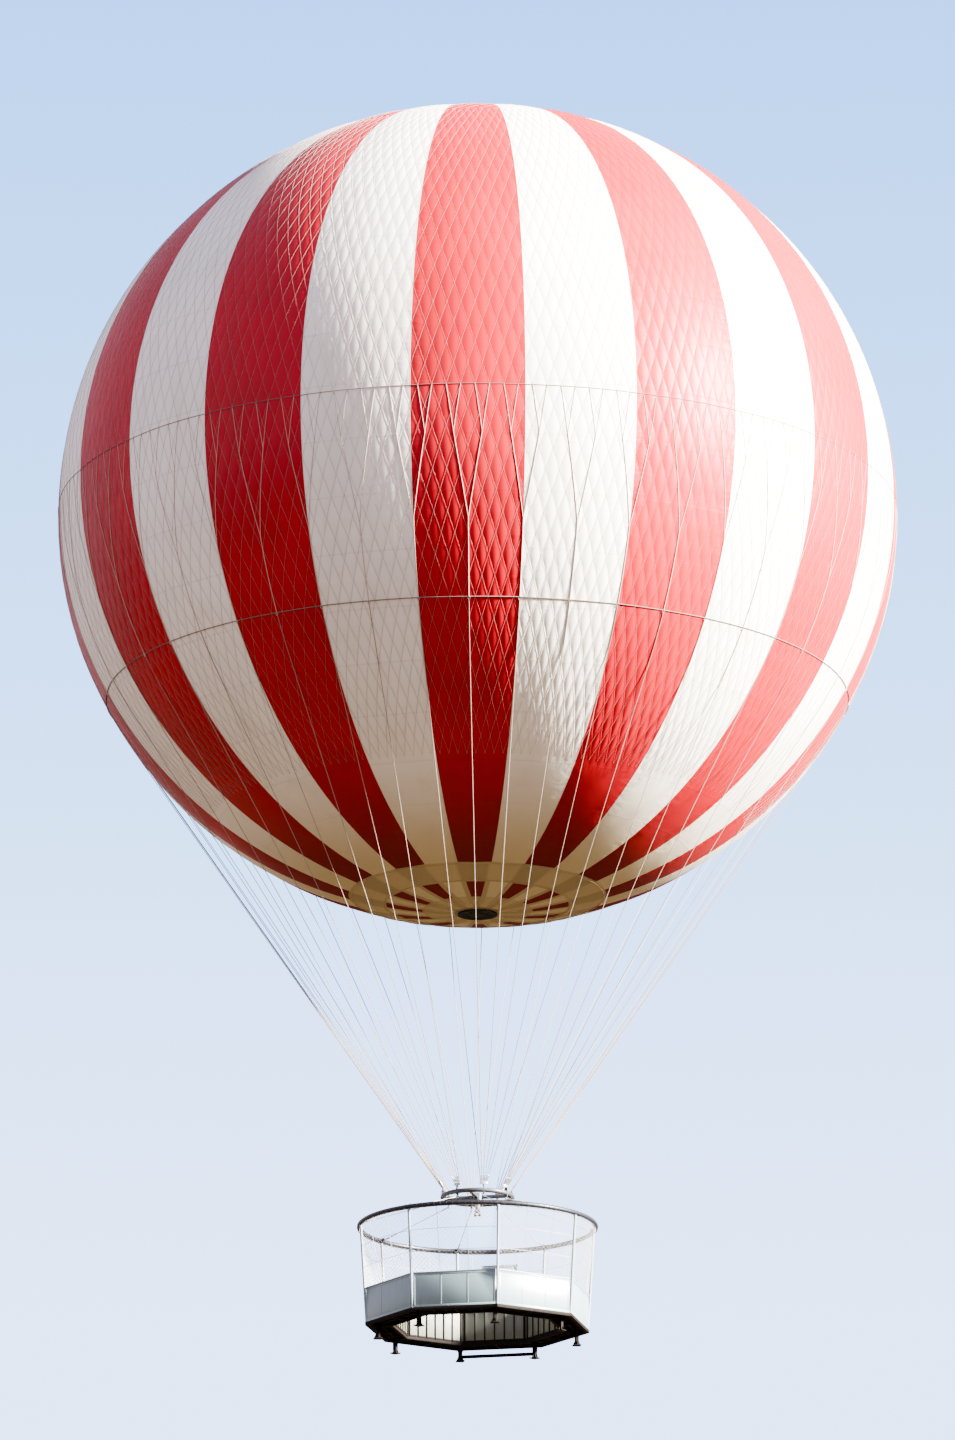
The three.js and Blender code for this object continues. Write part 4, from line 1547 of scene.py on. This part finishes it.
    def lacing(self, z: float) -> None:
        """Builds the cord that laces the safety nets to the top ring.

        Args:
            z: the top ring's height.
        """
        lacing = Shape()
        turns, steps = 120, 14
        reach = self.tube + 0.004
        path = []
        for k in range(turns * steps):
            turn = 2.0 * math.pi * k / steps
            azimuth = 360.0 * k / (turns * steps)
            radius, height = self.ring_radius + reach * math.sin(turn), z + reach * math.cos(turn)
            path.append(around(azimuth, radius, height))
        lacing.sweep(path, circle(0.003, 4), UP, closed=True)
        lacing.piece("ring_lacing", Body.BALLOON, LACING_CORD, Slot.ROPE)

    def panel_sheet(self, shape: Shape, azimuth: float, reach: Span) -> None:
        """Adds a panel with its frame, swages and rivets.

        Args:
            shape: the shape to add to.
            azimuth: the side's azimuth.
            reach: its start and end along the side.
        """
        inner, outer, top = self.panel
        within = (reach[0] + 0.002, reach[1] - 0.002)
        self.beam(shape, azimuth, within, (inner + 0.004, outer - 0.004), (0.003, top - 0.003), 0.002)
        edge, step, rivet = 0.055, 0.0012, 0.006
        for heights in ((0.001, edge), (top - 0.001 - edge, top - 0.001)):
            self.beam(shape, azimuth, reach, (inner, outer), heights, 0.003)
        span = reach[1] - reach[0]
        count = max(1, round(span / 0.72))
        for k in range(count + 1):
            centre = reach[0] + edge / 2.0 + (span - edge) * k / count
            faces = (centre - edge / 2.0 + step, centre + edge / 2.0 - step)
            self.stile(shape, azimuth, faces, (inner + step, outer - step), (0.01, top - 0.01), 0.003)
            for j in range(9):
                spot = self.at(azimuth, centre, outer - step, 0.09 + 0.0875 * j)
                shape.rivet(spot, outward(azimuth), rivet)
        rivets = max(4, round(span / 0.11))
        for k in range(rivets + 1):
            along = reach[0] + 0.03 + (span - 0.06) * k / rivets
            for height in (0.03, top - 0.03):
                shape.rivet(self.at(azimuth, along, outer, height), outward(azimuth), rivet)

    def handrail(self, shape: Shape, azimuth: float, reach: Span) -> None:
        """Adds the handrail on a panel.

        Args:
            shape: the shape to add to.
            azimuth: the side's azimuth.
            reach: its start and end along the side.
        """
        inner, outer, low, high = self.rail
        self.beam(shape, azimuth, reach, (inner, outer), (low, high), 0.015)

    def netting(self, shape: Shape, azimuth: float, reach: Span, shares: Span = (0.02, 0.98)) -> None:
        """Adds diamond safety netting over a stretch of a screen.

        Args:
            shape: the shape to add to.
            azimuth: the side's azimuth.
            reach: the first and last local azimuth.
            shares: the lowest and highest share of the screen.
        """
        wide = math.radians(reach[1] - reach[0]) * (self.line + self.ring_radius) / 2.0
        tall = (shares[1] - shares[0]) * (self.screen_head - self.screen_foot)
        columns, rows = max(2, round(wide / self.net_mesh)), max(2, round(tall / self.net_mesh))
        for strand in diamond_strands(columns, rows):
            path = [
                self.screen(
                    azimuth,
                    reach[0] + (reach[1] - reach[0]) * column / columns,
                    shares[0] + (shares[1] - shares[0]) * row / rows,
                )
                for column, row in strand
            ]
            shape.sweep(path, circle(self.net_cord, 3))

    def corner_post(self, shape: Shape, azimuth: float) -> None:
        """Adds the post at a side's left corner, with its foot flange and head clamp.

        Args:
            shape: the shape to add to.
            azimuth: the side's azimuth.
        """
        turn = azimuth - self.corner
        foot = around(turn, self.post_foot, self.floor + 0.0026)
        head = around(turn, self.ring_radius, self.floor + self.ring_height - 0.0545)
        out, run = outward(turn), (head - foot).normalized()
        shape.sweep([foot, head], circle(self.post, 16), out)
        for start, end, proud, ease in (
            (foot + run * 0.001, foot + run * 0.016, 0.012, 0.002),
            (head - run * 0.12, head - run * 0.004, 0.005, 0.004),
            (foot + run * 0.60, foot + run * 0.63, 0.004, 0.002),
            (foot + run * 0.74, foot + run * 0.77, 0.004, 0.002),
        ):
            shape.sweep([start, end], circle(self.post + proud, 16), out, ease=ease)

    def side_frame(self, azimuth: float, gate: bool) -> None:
        """Builds one side: panels, post and rails, screen bars and netting.

        Args:
            azimuth: the side's azimuth.
            gate: whether the side holds the gate.
        """
        number = SIDE_AZIMUTHS.index(azimuth) + 1
        node = f"side_{number}_gate_frame" if gate else f"side_{number}"
        edge = self.door + self.jamb
        panels, steel, bars, cords = Shape(), Shape(), Shape(), Shape()
        stretches = [(self.ends[0], -edge), (edge, self.ends[1])] if gate else [self.ends]
        for reach in stretches:
            self.panel_sheet(panels, azimuth, (reach[0] + 0.0015, reach[1] - 0.0015))
            self.handrail(steel, azimuth, reach)
        panels.piece(f"side_{number}_panels", Body.BALLOON, PANEL_PAINT, Slot.PANEL_WHITE, [node])
        self.corner_post(steel, azimuth)
        if gate:
            for turn in (-1.0, 1.0):
                faces = ordered(turn * self.door, turn * edge)
                self.stile(steel, azimuth, faces, (2.662, 2.700), (0.0003, 2.15), 0.006)
            self.beam(steel, azimuth, (0.002 - edge, edge - 0.002), (2.663, 2.699), (2.111, 2.149), 0.006)
            for level in self.hinge_levels:
                self.hinge(steel, azimuth, level, False)
        steel.piece(f"side_{number}_post_and_rail", Body.BALLOON, RAIL_PAINT, Slot.PANEL_WHITE)
        fine = [self.corner * (k / 12 - 1.0) for k in range(24)] + [21.6]
        bars.sweep([self.screen(azimuth, local, 1.0) for local in fine], circle(0.010, 8), UP)
        if gate:
            self.gate_screen(bars, cords, azimuth)
        else:
            thin = circle(self.bar, 8)
            for local in (-7.5, 7.5):
                path = [self.screen(azimuth, local, share) for share in (0.0, 1.0)]
                bars.sweep(path, thin, outward(azimuth))
            for share in (1 / 3, 2 / 3):
                bars.sweep([self.screen(azimuth, local, share) for local in fine], thin, UP)
            self.netting(cords, azimuth, (-22.0, 22.0))
        bars.piece(f"side_{number}_screen_bars", Body.BALLOON, ZINC, Slot.PANEL_WHITE)
        cords.piece(f"side_{number}_safety_net", Body.BALLOON, SAFETY_CORD, Slot.ROPE)

    def gate_screen(self, bars: Shape, cords: Shape, azimuth: float) -> None:
        """Adds the screen bars and netting on both sides of the gate.

        Args:
            bars: the bars' shape.
            cords: the netting's shape.
            azimuth: the side's azimuth.
        """
        thin, out = circle(self.bar, 8), outward(azimuth)
        jamb, depth = self.door + self.jamb / 2.0, 2.681
        for turn in (-1.0, 1.0):
            bars.sweep([self.screen(azimuth, 15.0 * turn, share) for share in (0.0, 1.0)], thin, out)
            top = self.screen(azimuth, 7.5 * turn, 1.0)
            along = (top - self.at(azimuth, 0.0, 0.0, 0.0)).dot(sideways(azimuth))
            bars.sweep([self.at(azimuth, along, depth, 2.13), top], thin, out)
            for share in (1 / 3, 2 / 3):
                near = self.screen(azimuth, 15.0 * turn, share)
                end = self.at(azimuth, turn * jamb, depth, near.z - self.floor)
                bars.sweep([self.screen(azimuth, self.screen_edge * turn, share), near, end], thin, UP)
            self.netting(cords, azimuth, ordered(11.2 * turn, self.screen_edge * turn))

    def hinge(self, shape: Shape, azimuth: float, level: float, on_gate: bool) -> None:
        """Adds one half of a hinge: barrel and leaf.

        Args:
            shape: the shape to add to.
            azimuth: the side's azimuth.
            level: the height where the halves meet.
            on_gate: whether it is the gate's half.
        """
        heights = (level, level + 0.06) if on_gate else (level - 0.06, level - 0.0003)
        line = [self.at(azimuth, *self.hinge_line, height) for height in heights]
        shape.sweep(line, circle(0.010, 14), outward(azimuth), ease=0.001)
        turn = 1.0 if on_gate else -1.0
        pin, face = self.hinge_line[0], 2.7065
        reach = ordered(pin, pin + turn * 0.04)
        self.stile(shape, azimuth, reach, (2.6995, face), (heights[0] + 0.001, heights[1] - 0.001), 0.002)
        for height in (heights[0] + 0.015, heights[1] - 0.015):
            spot = self.at(azimuth, sum(reach) / 2.0 + turn * 0.006, face, height)
            shape.rivet(spot, outward(azimuth), 0.005)

    def gate(self) -> None:
        """Builds the gate with its sheet, bars, netting, latch and hinges."""
        azimuth, half = self.gate_facing, self.leaf
        depth, sill = 2.68, 0.91
        steel, sheet, cords = Shape(), Shape(), Shape()
        for turn in (-1.0, 1.0):
            faces = ordered(turn * half, turn * (half - 0.04))
            self.stile(steel, azimuth, faces, (2.66, 2.70), (0.04, 2.105), 0.008)
        for heights in ((0.041, 0.08), (2.065, 2.104), (0.87, 0.91)):
            self.beam(steel, azimuth, (-half + 0.02, half - 0.02), (2.661, 2.699), heights, 0.007)
        for along in (-0.21, 0.0, 0.21):
            path = [self.at(azimuth, along, depth, height) for height in (0.90, 2.07)]
            steel.sweep(path, circle(self.bar, 8), outward(azimuth))
        for height in (sill + 1.195 / 3.0, sill + 2.39 / 3.0):
            path = [self.at(azimuth, along, depth, height) for along in (-0.40, 0.40)]
            steel.sweep(path, circle(self.bar, 8), UP)
        for level in self.hinge_levels:
            self.hinge(steel, azimuth, level, True)
        self.beam(steel, azimuth, (0.365, 0.412), (2.698, 2.706), (1.0, 1.06), 0.002)
        knob = [self.at(azimuth, 0.390, 2.706, 1.03), self.at(azimuth, 0.390, 2.718, 1.03)]
        steel.sweep(knob, circle(0.009, 12), UP)
        handle = [self.at(azimuth, 0.395, 2.719, 1.03), self.at(azimuth, 0.31, 2.719, 1.03)]
        steel.sweep(handle, rounded(0.012, 0.018, 0.005), UP, ease=0.003)
        steel.piece("gate_leaf", Body.GATE, RAIL_PAINT, Slot.PANEL_WHITE, ["gate"])
        self.beam(sheet, azimuth, (-half + 0.012, half - 0.012), (2.673, 2.687), (0.07, 0.88), 0.002)
        for along in (-0.2, 0.0, 0.2):
            self.stile(sheet, azimuth, (along - 0.02, along + 0.02), (2.671, 2.690), (0.08, 0.87), 0.003)
        sheet.piece("gate_sheet", Body.GATE, PANEL_PAINT, Slot.PANEL_WHITE)
        columns, rows = 6, 9
        for strand in diamond_strands(columns, rows):
            path = [
                self.at(azimuth, -0.38 + 0.76 * column / columns, depth, sill + 1.155 * row / rows)
                for column, row in strand
            ]
            cords.sweep(path, circle(self.net_cord, 3))
        cords.piece("gate_net", Body.GATE, SAFETY_CORD, Slot.ROPE)

    def octagon(self, shape: Shape, depth: Span, heights: Span, corner: float) -> None:
        """Adds an eight-sided ring of rounded section with mitred corners.

        Args:
            shape: the shape to add to.
            depth: its inner and outer distance from the axis.
            heights: its bottom and top.
            corner: the radius of its edges.
        """
        middle = sum(depth) / 2.0 / math.cos(math.radians(self.corner))
        level = self.floor + sum(heights) / 2.0
        path = [around(azimuth, middle, level) for azimuth in CORNER_AZIMUTHS]
        shape.sweep(path, rounded(depth[1] - depth[0], heights[1] - heights[0], corner), UP, closed=True)

    def floor_frame(self) -> None:
        """Builds the floor frame, its joists, legs, feet and landing bar."""
        shape, pads = Shape(), Shape()
        self.octagon(shape, (2.59, 2.70), (-0.08, 0.0), 0.008)
        self.octagon(shape, (2.033, 2.113), (-0.08, 0.0), 0.008)
        for azimuth, turn in zip(SIDE_AZIMUTHS, CORNER_AZIMUTHS):
            for facing, low, high in ((turn, 2.20, 2.815), (azimuth, 2.10, 2.60)):
                path = [self.at(facing, 0.0, out, -0.04) for out in (low, high)]
                shape.sweep(path, rounded(0.070, 0.072, 0.006), UP)
            for along in (-0.62, -0.31, 0.31, 0.62):
                path = [self.at(azimuth, along, out, -0.026) for out in (2.10, 2.60)]
                shape.sweep(path, rounded(0.035, 0.046, 0.004), UP)
            self.beam(shape, azimuth, (-0.93, 0.93), (2.335, 2.375), (-0.047, -0.006), 0.004)
            self.leg(shape, pads, turn)
            for along in (-0.9, -0.45, 0.0, 0.45, 0.9):
                shape.bolt(self.at(azimuth, along, 2.70, -0.04), outward(azimuth), 0.018)
        end = around(self.gate_facing - self.corner, self.foot_radius, 0.0)
        path = [Vector((turn * end.x, end.y, self.floor - 0.30)) for turn in (-1.0, 1.0)]
        shape.sweep(path, rounded(0.08, 0.08, 0.012, 3), UP, ease=0.003)
        shape.piece("floor_frame_steel", Body.BALLOON, FRAME_PAINT, Slot.FRAME_PAINT, ["floor_frame"])
        pads.piece("foot_pads", Body.BALLOON, PORT_PLASTIC, Slot.PORT_CAP)

    def leg(self, shape: Shape, pads: Shape, turn: float) -> None:
        """Adds one leg with gussets, base plate, bolts and rubber pad.

        Args:
            shape: the frame's shape.
            pads: the pads' shape.
            turn: the leg's azimuth.
        """
        out, reach = outward(turn), self.foot_radius
        for made, low, high, wide, corner, steps, ease in (
            (shape, -0.400, -0.050, 0.100, 0.012, 3, 0.0),
            (shape, -0.410, -0.400, 0.220, 0.024, 3, 0.002),
            (pads, -0.420, -0.410, 0.214, 0.030, 4, 0.003),
        ):
            path = [self.at(turn, 0.0, reach, height) for height in (low, high)]
            made.sweep(path, rounded(wide, wide, corner, steps), out, ease=ease)
        for x in (-0.084, 0.084):
            for y in (-0.084, 0.084):
                shape.bolt(self.at(turn, x, reach + y, -0.400), UP, 0.016)
        for x, y in ((1.0, 0.0), (-1.0, 0.0), (0.0, 1.0), (0.0, -1.0)):
            lean = sideways(turn) * x + out * y
            foot = self.at(turn, 0.0, reach, -0.40) + lean * 0.05
            self.gusset(shape, foot, lean, UP, 0.052, 0.10)
            head = self.at(turn, 0.0, reach, -0.08) + lean * 0.05
            self.gusset(shape, head, lean, -UP, 0.07, 0.09)

    def gusset(
        self, shape: Shape, corner: Vector, lean: Vector, rise: Vector, foot: float, height: float
    ) -> None:
        """Adds a three-cornered stiffener plate.

        Args:
            shape: the shape to add to.
            corner: its square corner.
            lean: the direction of its foot.
            rise: the direction of its height.
            foot: its foot's length.
            height: its height.
        """
        side = lean.cross(rise).normalized() * 0.004
        outline = [corner, corner + lean * foot, corner + lean * foot * 0.9 + rise * height * 0.15]
        outline += [corner + lean * foot * 0.15 + rise * height * 0.95, corner + rise * height]
        base = len(shape.points)
        shape.points += [point - side for point in outline] + [point + side for point in outline]
        count = len(outline)
        shape.faces.append(tuple(base + k for k in reversed(range(count))))
        shape.faces.append(tuple(base + count + k for k in range(count)))
        for k in range(count):
            n = (k + 1) % count
            shape.faces.append((base + k, base + n, base + count + n, base + count + k))

    def deck(self) -> None:
        """Builds the deck plates, the gaps between them, their screws and the dark soffit under them, whose
        near-black colour is painted shade.
        """
        shape, soffit = Shape(), Shape()
        inner, bend, outer, gap = 2.0533, 2.61, 2.655, 0.004
        slope = math.tan(math.radians(self.corner))
        outline = [(gap, inner), (inner * slope - gap, inner), (bend * slope - gap, bend)]
        outline += [(outer * slope - 0.045, outer), (gap, outer)]
        screws = ((0.10, 2.10), (0.70, 2.10), (0.10, 2.60), (0.90, 2.60), (0.10, 2.35), (0.78, 2.35))
        for azimuth in SIDE_AZIMUTHS:
            for turn in (-1.0, 1.0):
                for made, levels in (
                    (shape, ((0.0, 0.0125), (0.0, 0.0275), (0.0025, 0.030))),
                    (soffit, ((0.0, 0.001), (0.0, 0.006), (0.0, 0.012))),
                ):
                    rows = []
                    for inset, height in levels:
                        row = []
                        for along, out in outline:
                            pull_out = out + (inset if out < 2.3 else -inset)
                            pull_along = along + (inset if along < 0.1 else -inset)
                            row.append(self.at(azimuth, turn * pull_along, pull_out, height))
                        rows.append(row)
                    start, count = made.grid(rows, wrap=True), len(outline)
                    made.faces.append(tuple(range(start, start + count)))
                    made.faces.append(tuple(range(start + 2 * count, start + 3 * count)))
                for along, out in screws:
                    shape.rivet(self.at(azimuth, turn * along, out, 0.030), UP, 0.008)
        shape.piece("deck_plates", Body.BALLOON, DECK_METAL, Slot.DECK_PLATE, ["deck"])
        soffit.piece("deck_soffit", Body.BALLOON, SOFFIT_PAINT, Slot.FRAME_PAINT)

    def inner_wall(self) -> None:
        """Builds the wall round the tether's opening, with ribs, rivets and its handrail."""
        shape, back, ribs, rail = Shape(), Shape(), Shape(), Shape()
        self.octagon(shape, (2.044, 2.050), (0.002, 0.872), 0.002)
        # The back sheet faces the opening; its dark colour is painted shade.
        self.octagon(back, (2.036, 2.043), (0.002, 0.872), 0.002)
        for heights in ((0.0005, 0.05), (0.81, 0.872)):
            self.octagon(shape, (2.043, 2.053), heights, 0.003)
            self.octagon(ribs, (2.026, 2.0365), heights, 0.003)
        reach = 2.033 * math.tan(math.radians(self.corner)) - 0.02
        for azimuth in SIDE_AZIMUTHS:
            for j in range(7):
                along = -0.78 + 0.26 * j
                faces = (along - 0.014, along + 0.014)
                self.stile(ribs, azimuth, faces, (2.014, 2.037), (0.01, 0.868), 0.004)
                for height in (0.03, 0.25, 0.47, 0.69, 0.845):
                    shape.rivet(self.at(azimuth, along, 2.050, height), outward(azimuth), 0.005)
            for turn in (-1.0, 1.0):
                faces = ordered(turn * reach, turn * (reach - 0.03))
                self.stile(ribs, azimuth, faces, (2.024, 2.037), (0.01, 0.868), 0.004)
        shape.piece("inner_wall_sheet", Body.BALLOON, PANEL_PAINT, Slot.PANEL_WHITE, ["inner_wall"])
        back.piece("inner_wall_back", Body.BALLOON, BACK_SHADE_PAINT, Slot.FRAME_PAINT)
        ribs.piece("inner_wall_ribs", Body.BALLOON, FRAME_PAINT, Slot.FRAME_PAINT)
        self.octagon(rail, (2.013, 2.073), (0.870, 0.910), 0.016)
        rail.piece("inner_handrail", Body.BALLOON, RAIL_PAINT, Slot.PANEL_WHITE)

    def build(self) -> None:
        """Builds the gondola."""
        self.top_ring()
        for azimuth in SIDE_AZIMUTHS:
            self.side_frame(azimuth, azimuth == self.gate_facing)
        self.gate()
        self.floor_frame()
        self.deck()
        self.inner_wall()


@dataclass
class Studio:
    """The camera, the floor far below, the key light and the pale surroundings."""

    azimuth: float = 12.5
    distance: float = 191.7
    eye: float = -60.6
    floor: float = -62.2
    lens: float = 190.0
    aim: float = -5.6
    sun_turn: float = 73.5
    sun_height: float = 23.0
    sun_power: float = 54.0
    sun_spread: float = 8.0
    sun_tint: Colour = (1.0, 0.94, 0.85)
    look: str = "AgX - Medium High Contrast"
    glow_power: float = 1.62
    glow: Stops = (
        (0.0, (0.29, 0.21, 0.135)),
        (0.03, (0.86, 0.76, 0.88)),
        (0.5, (0.56, 0.54, 0.70)),
        (1.0, (0.36, 0.42, 0.60)),
    )
    backdrop: Stops = (
        (0.20, (1.65, 2.15, 3.30)),
        (0.29, (0.85, 1.53, 2.75)),
        (0.37, (0.49, 1.08, 2.40)),
    )

    def camera(self) -> None:
        """Places the camera at the photograph's angle."""
        lens = bpy.data.cameras.new("camera")
        lens.lens, lens.sensor_width = self.lens, 36.0
        lens.clip_start, lens.clip_end = 1.0, 4000.0
        camera = bpy.data.objects.new("camera", lens)
        camera.location = around(self.azimuth, self.distance, self.eye)
        camera.rotation_mode = "QUATERNION"
        camera.rotation_quaternion = (UP * self.aim - camera.location).to_track_quat("-Z", "Y")
        bpy.context.scene.collection.objects.link(camera)
        bpy.context.scene.camera = camera

    def ground(self) -> None:
        """Lays the pale floor."""
        mesh = bpy.data.meshes.new("studio_floor")
        steps, radius = 96, 3000.0
        points = [tuple(around(360.0 * k / steps, radius, self.floor)) for k in range(steps)]
        mesh.from_pydata(points, [], [tuple(range(steps))])
        material = bpy.data.materials.new("studio_floor")
        graph = Graph(material)
        cloud = graph.noise(graph.place(), 0.02, 3.0)
        tone = graph.mix(cloud, (0.46, 0.44, 0.41), (0.50, 0.48, 0.45))
        rough = 0.9 + (cloud - 0.5) * 0.05
        solid = graph.surface(Base_Color=tone, Roughness=rough, Specular_IOR_Level=0.0)
        back = graph.node("ShaderNodeNewGeometry", output=6)
        clear = graph.node("ShaderNodeBsdfTransparent")
        graph.show(graph.node("ShaderNodeMixShader", inputs={0: back, 1: solid, 2: clear}))
        mesh.materials.append(material)
        floor = bpy.data.objects.new("studio_floor", mesh)
        floor.visible_diffuse = floor.visible_glossy = False
        bpy.context.scene.collection.objects.link(floor)

    def sun(self) -> None:
        """Adds the soft key light from the right."""
        light = bpy.data.lights.new("key_light", "SUN")
        light.energy, light.angle = self.sun_power, math.radians(self.sun_spread)
        light.color = self.sun_tint
        lamp = bpy.data.objects.new("key_light", light)
        turn = self.azimuth + self.sun_turn
        height = math.radians(self.sun_height)
        source = outward(turn) * math.cos(height) + UP * math.sin(height)
        lamp.rotation_mode = "QUATERNION"
        lamp.rotation_quaternion = source.to_track_quat("Z", "Y")
        lamp.location = source * 60.0
        bpy.context.scene.collection.objects.link(lamp)

    def surroundings(self) -> None:
        """Sets the pale sky that fills in the shade, and the look of the view."""
        world = bpy.data.worlds.new("surroundings")
        bpy.context.scene.world = world
        bpy.context.scene.view_settings.look = self.look
        graph = Graph(world)
        place = graph.node("ShaderNodeTexCoord")
        height = graph.node("ShaderNodeSeparateXYZ", inputs={0: place}, output=2)
        shades = []
        for stops, power in ((self.glow, self.glow_power), (self.backdrop, 1.0)):
            colour = graph.node("ShaderNodeValToRGB", {"stops": stops}, {0: height})
            shades.append(graph.node("ShaderNodeBackground", inputs={"Color": colour, "Strength": power}))
        seen = graph.node("ShaderNodeLightPath")
        both = graph.node("ShaderNodeMixShader", inputs={0: seen, 1: shades[0], 2: shades[1]})
        graph.node("ShaderNodeOutputWorld", inputs={"Surface": both})

    def build(self) -> None:
        """Builds the studio."""
        self.camera()
        self.ground()
        self.sun()
        self.surroundings()


def main() -> None:
    """Loads the frame, builds every piece and notes the sizes."""
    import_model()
    Studio().build()
    envelope = Envelope()
    net = Net(envelope)
    stages: list[tuple[str, Callable[[], None]]] = [
        ("envelope", envelope.build),
        ("crown valve", CrownValve(envelope).build),
        ("net", net.build),
        ("rigging", Rigging(envelope, net).build),
        ("gondola", Gondola().build),
    ]
    for name, build in stages:
        LOG.info("building the %s", name)
        build()


if __name__ == "__main__":
    main()
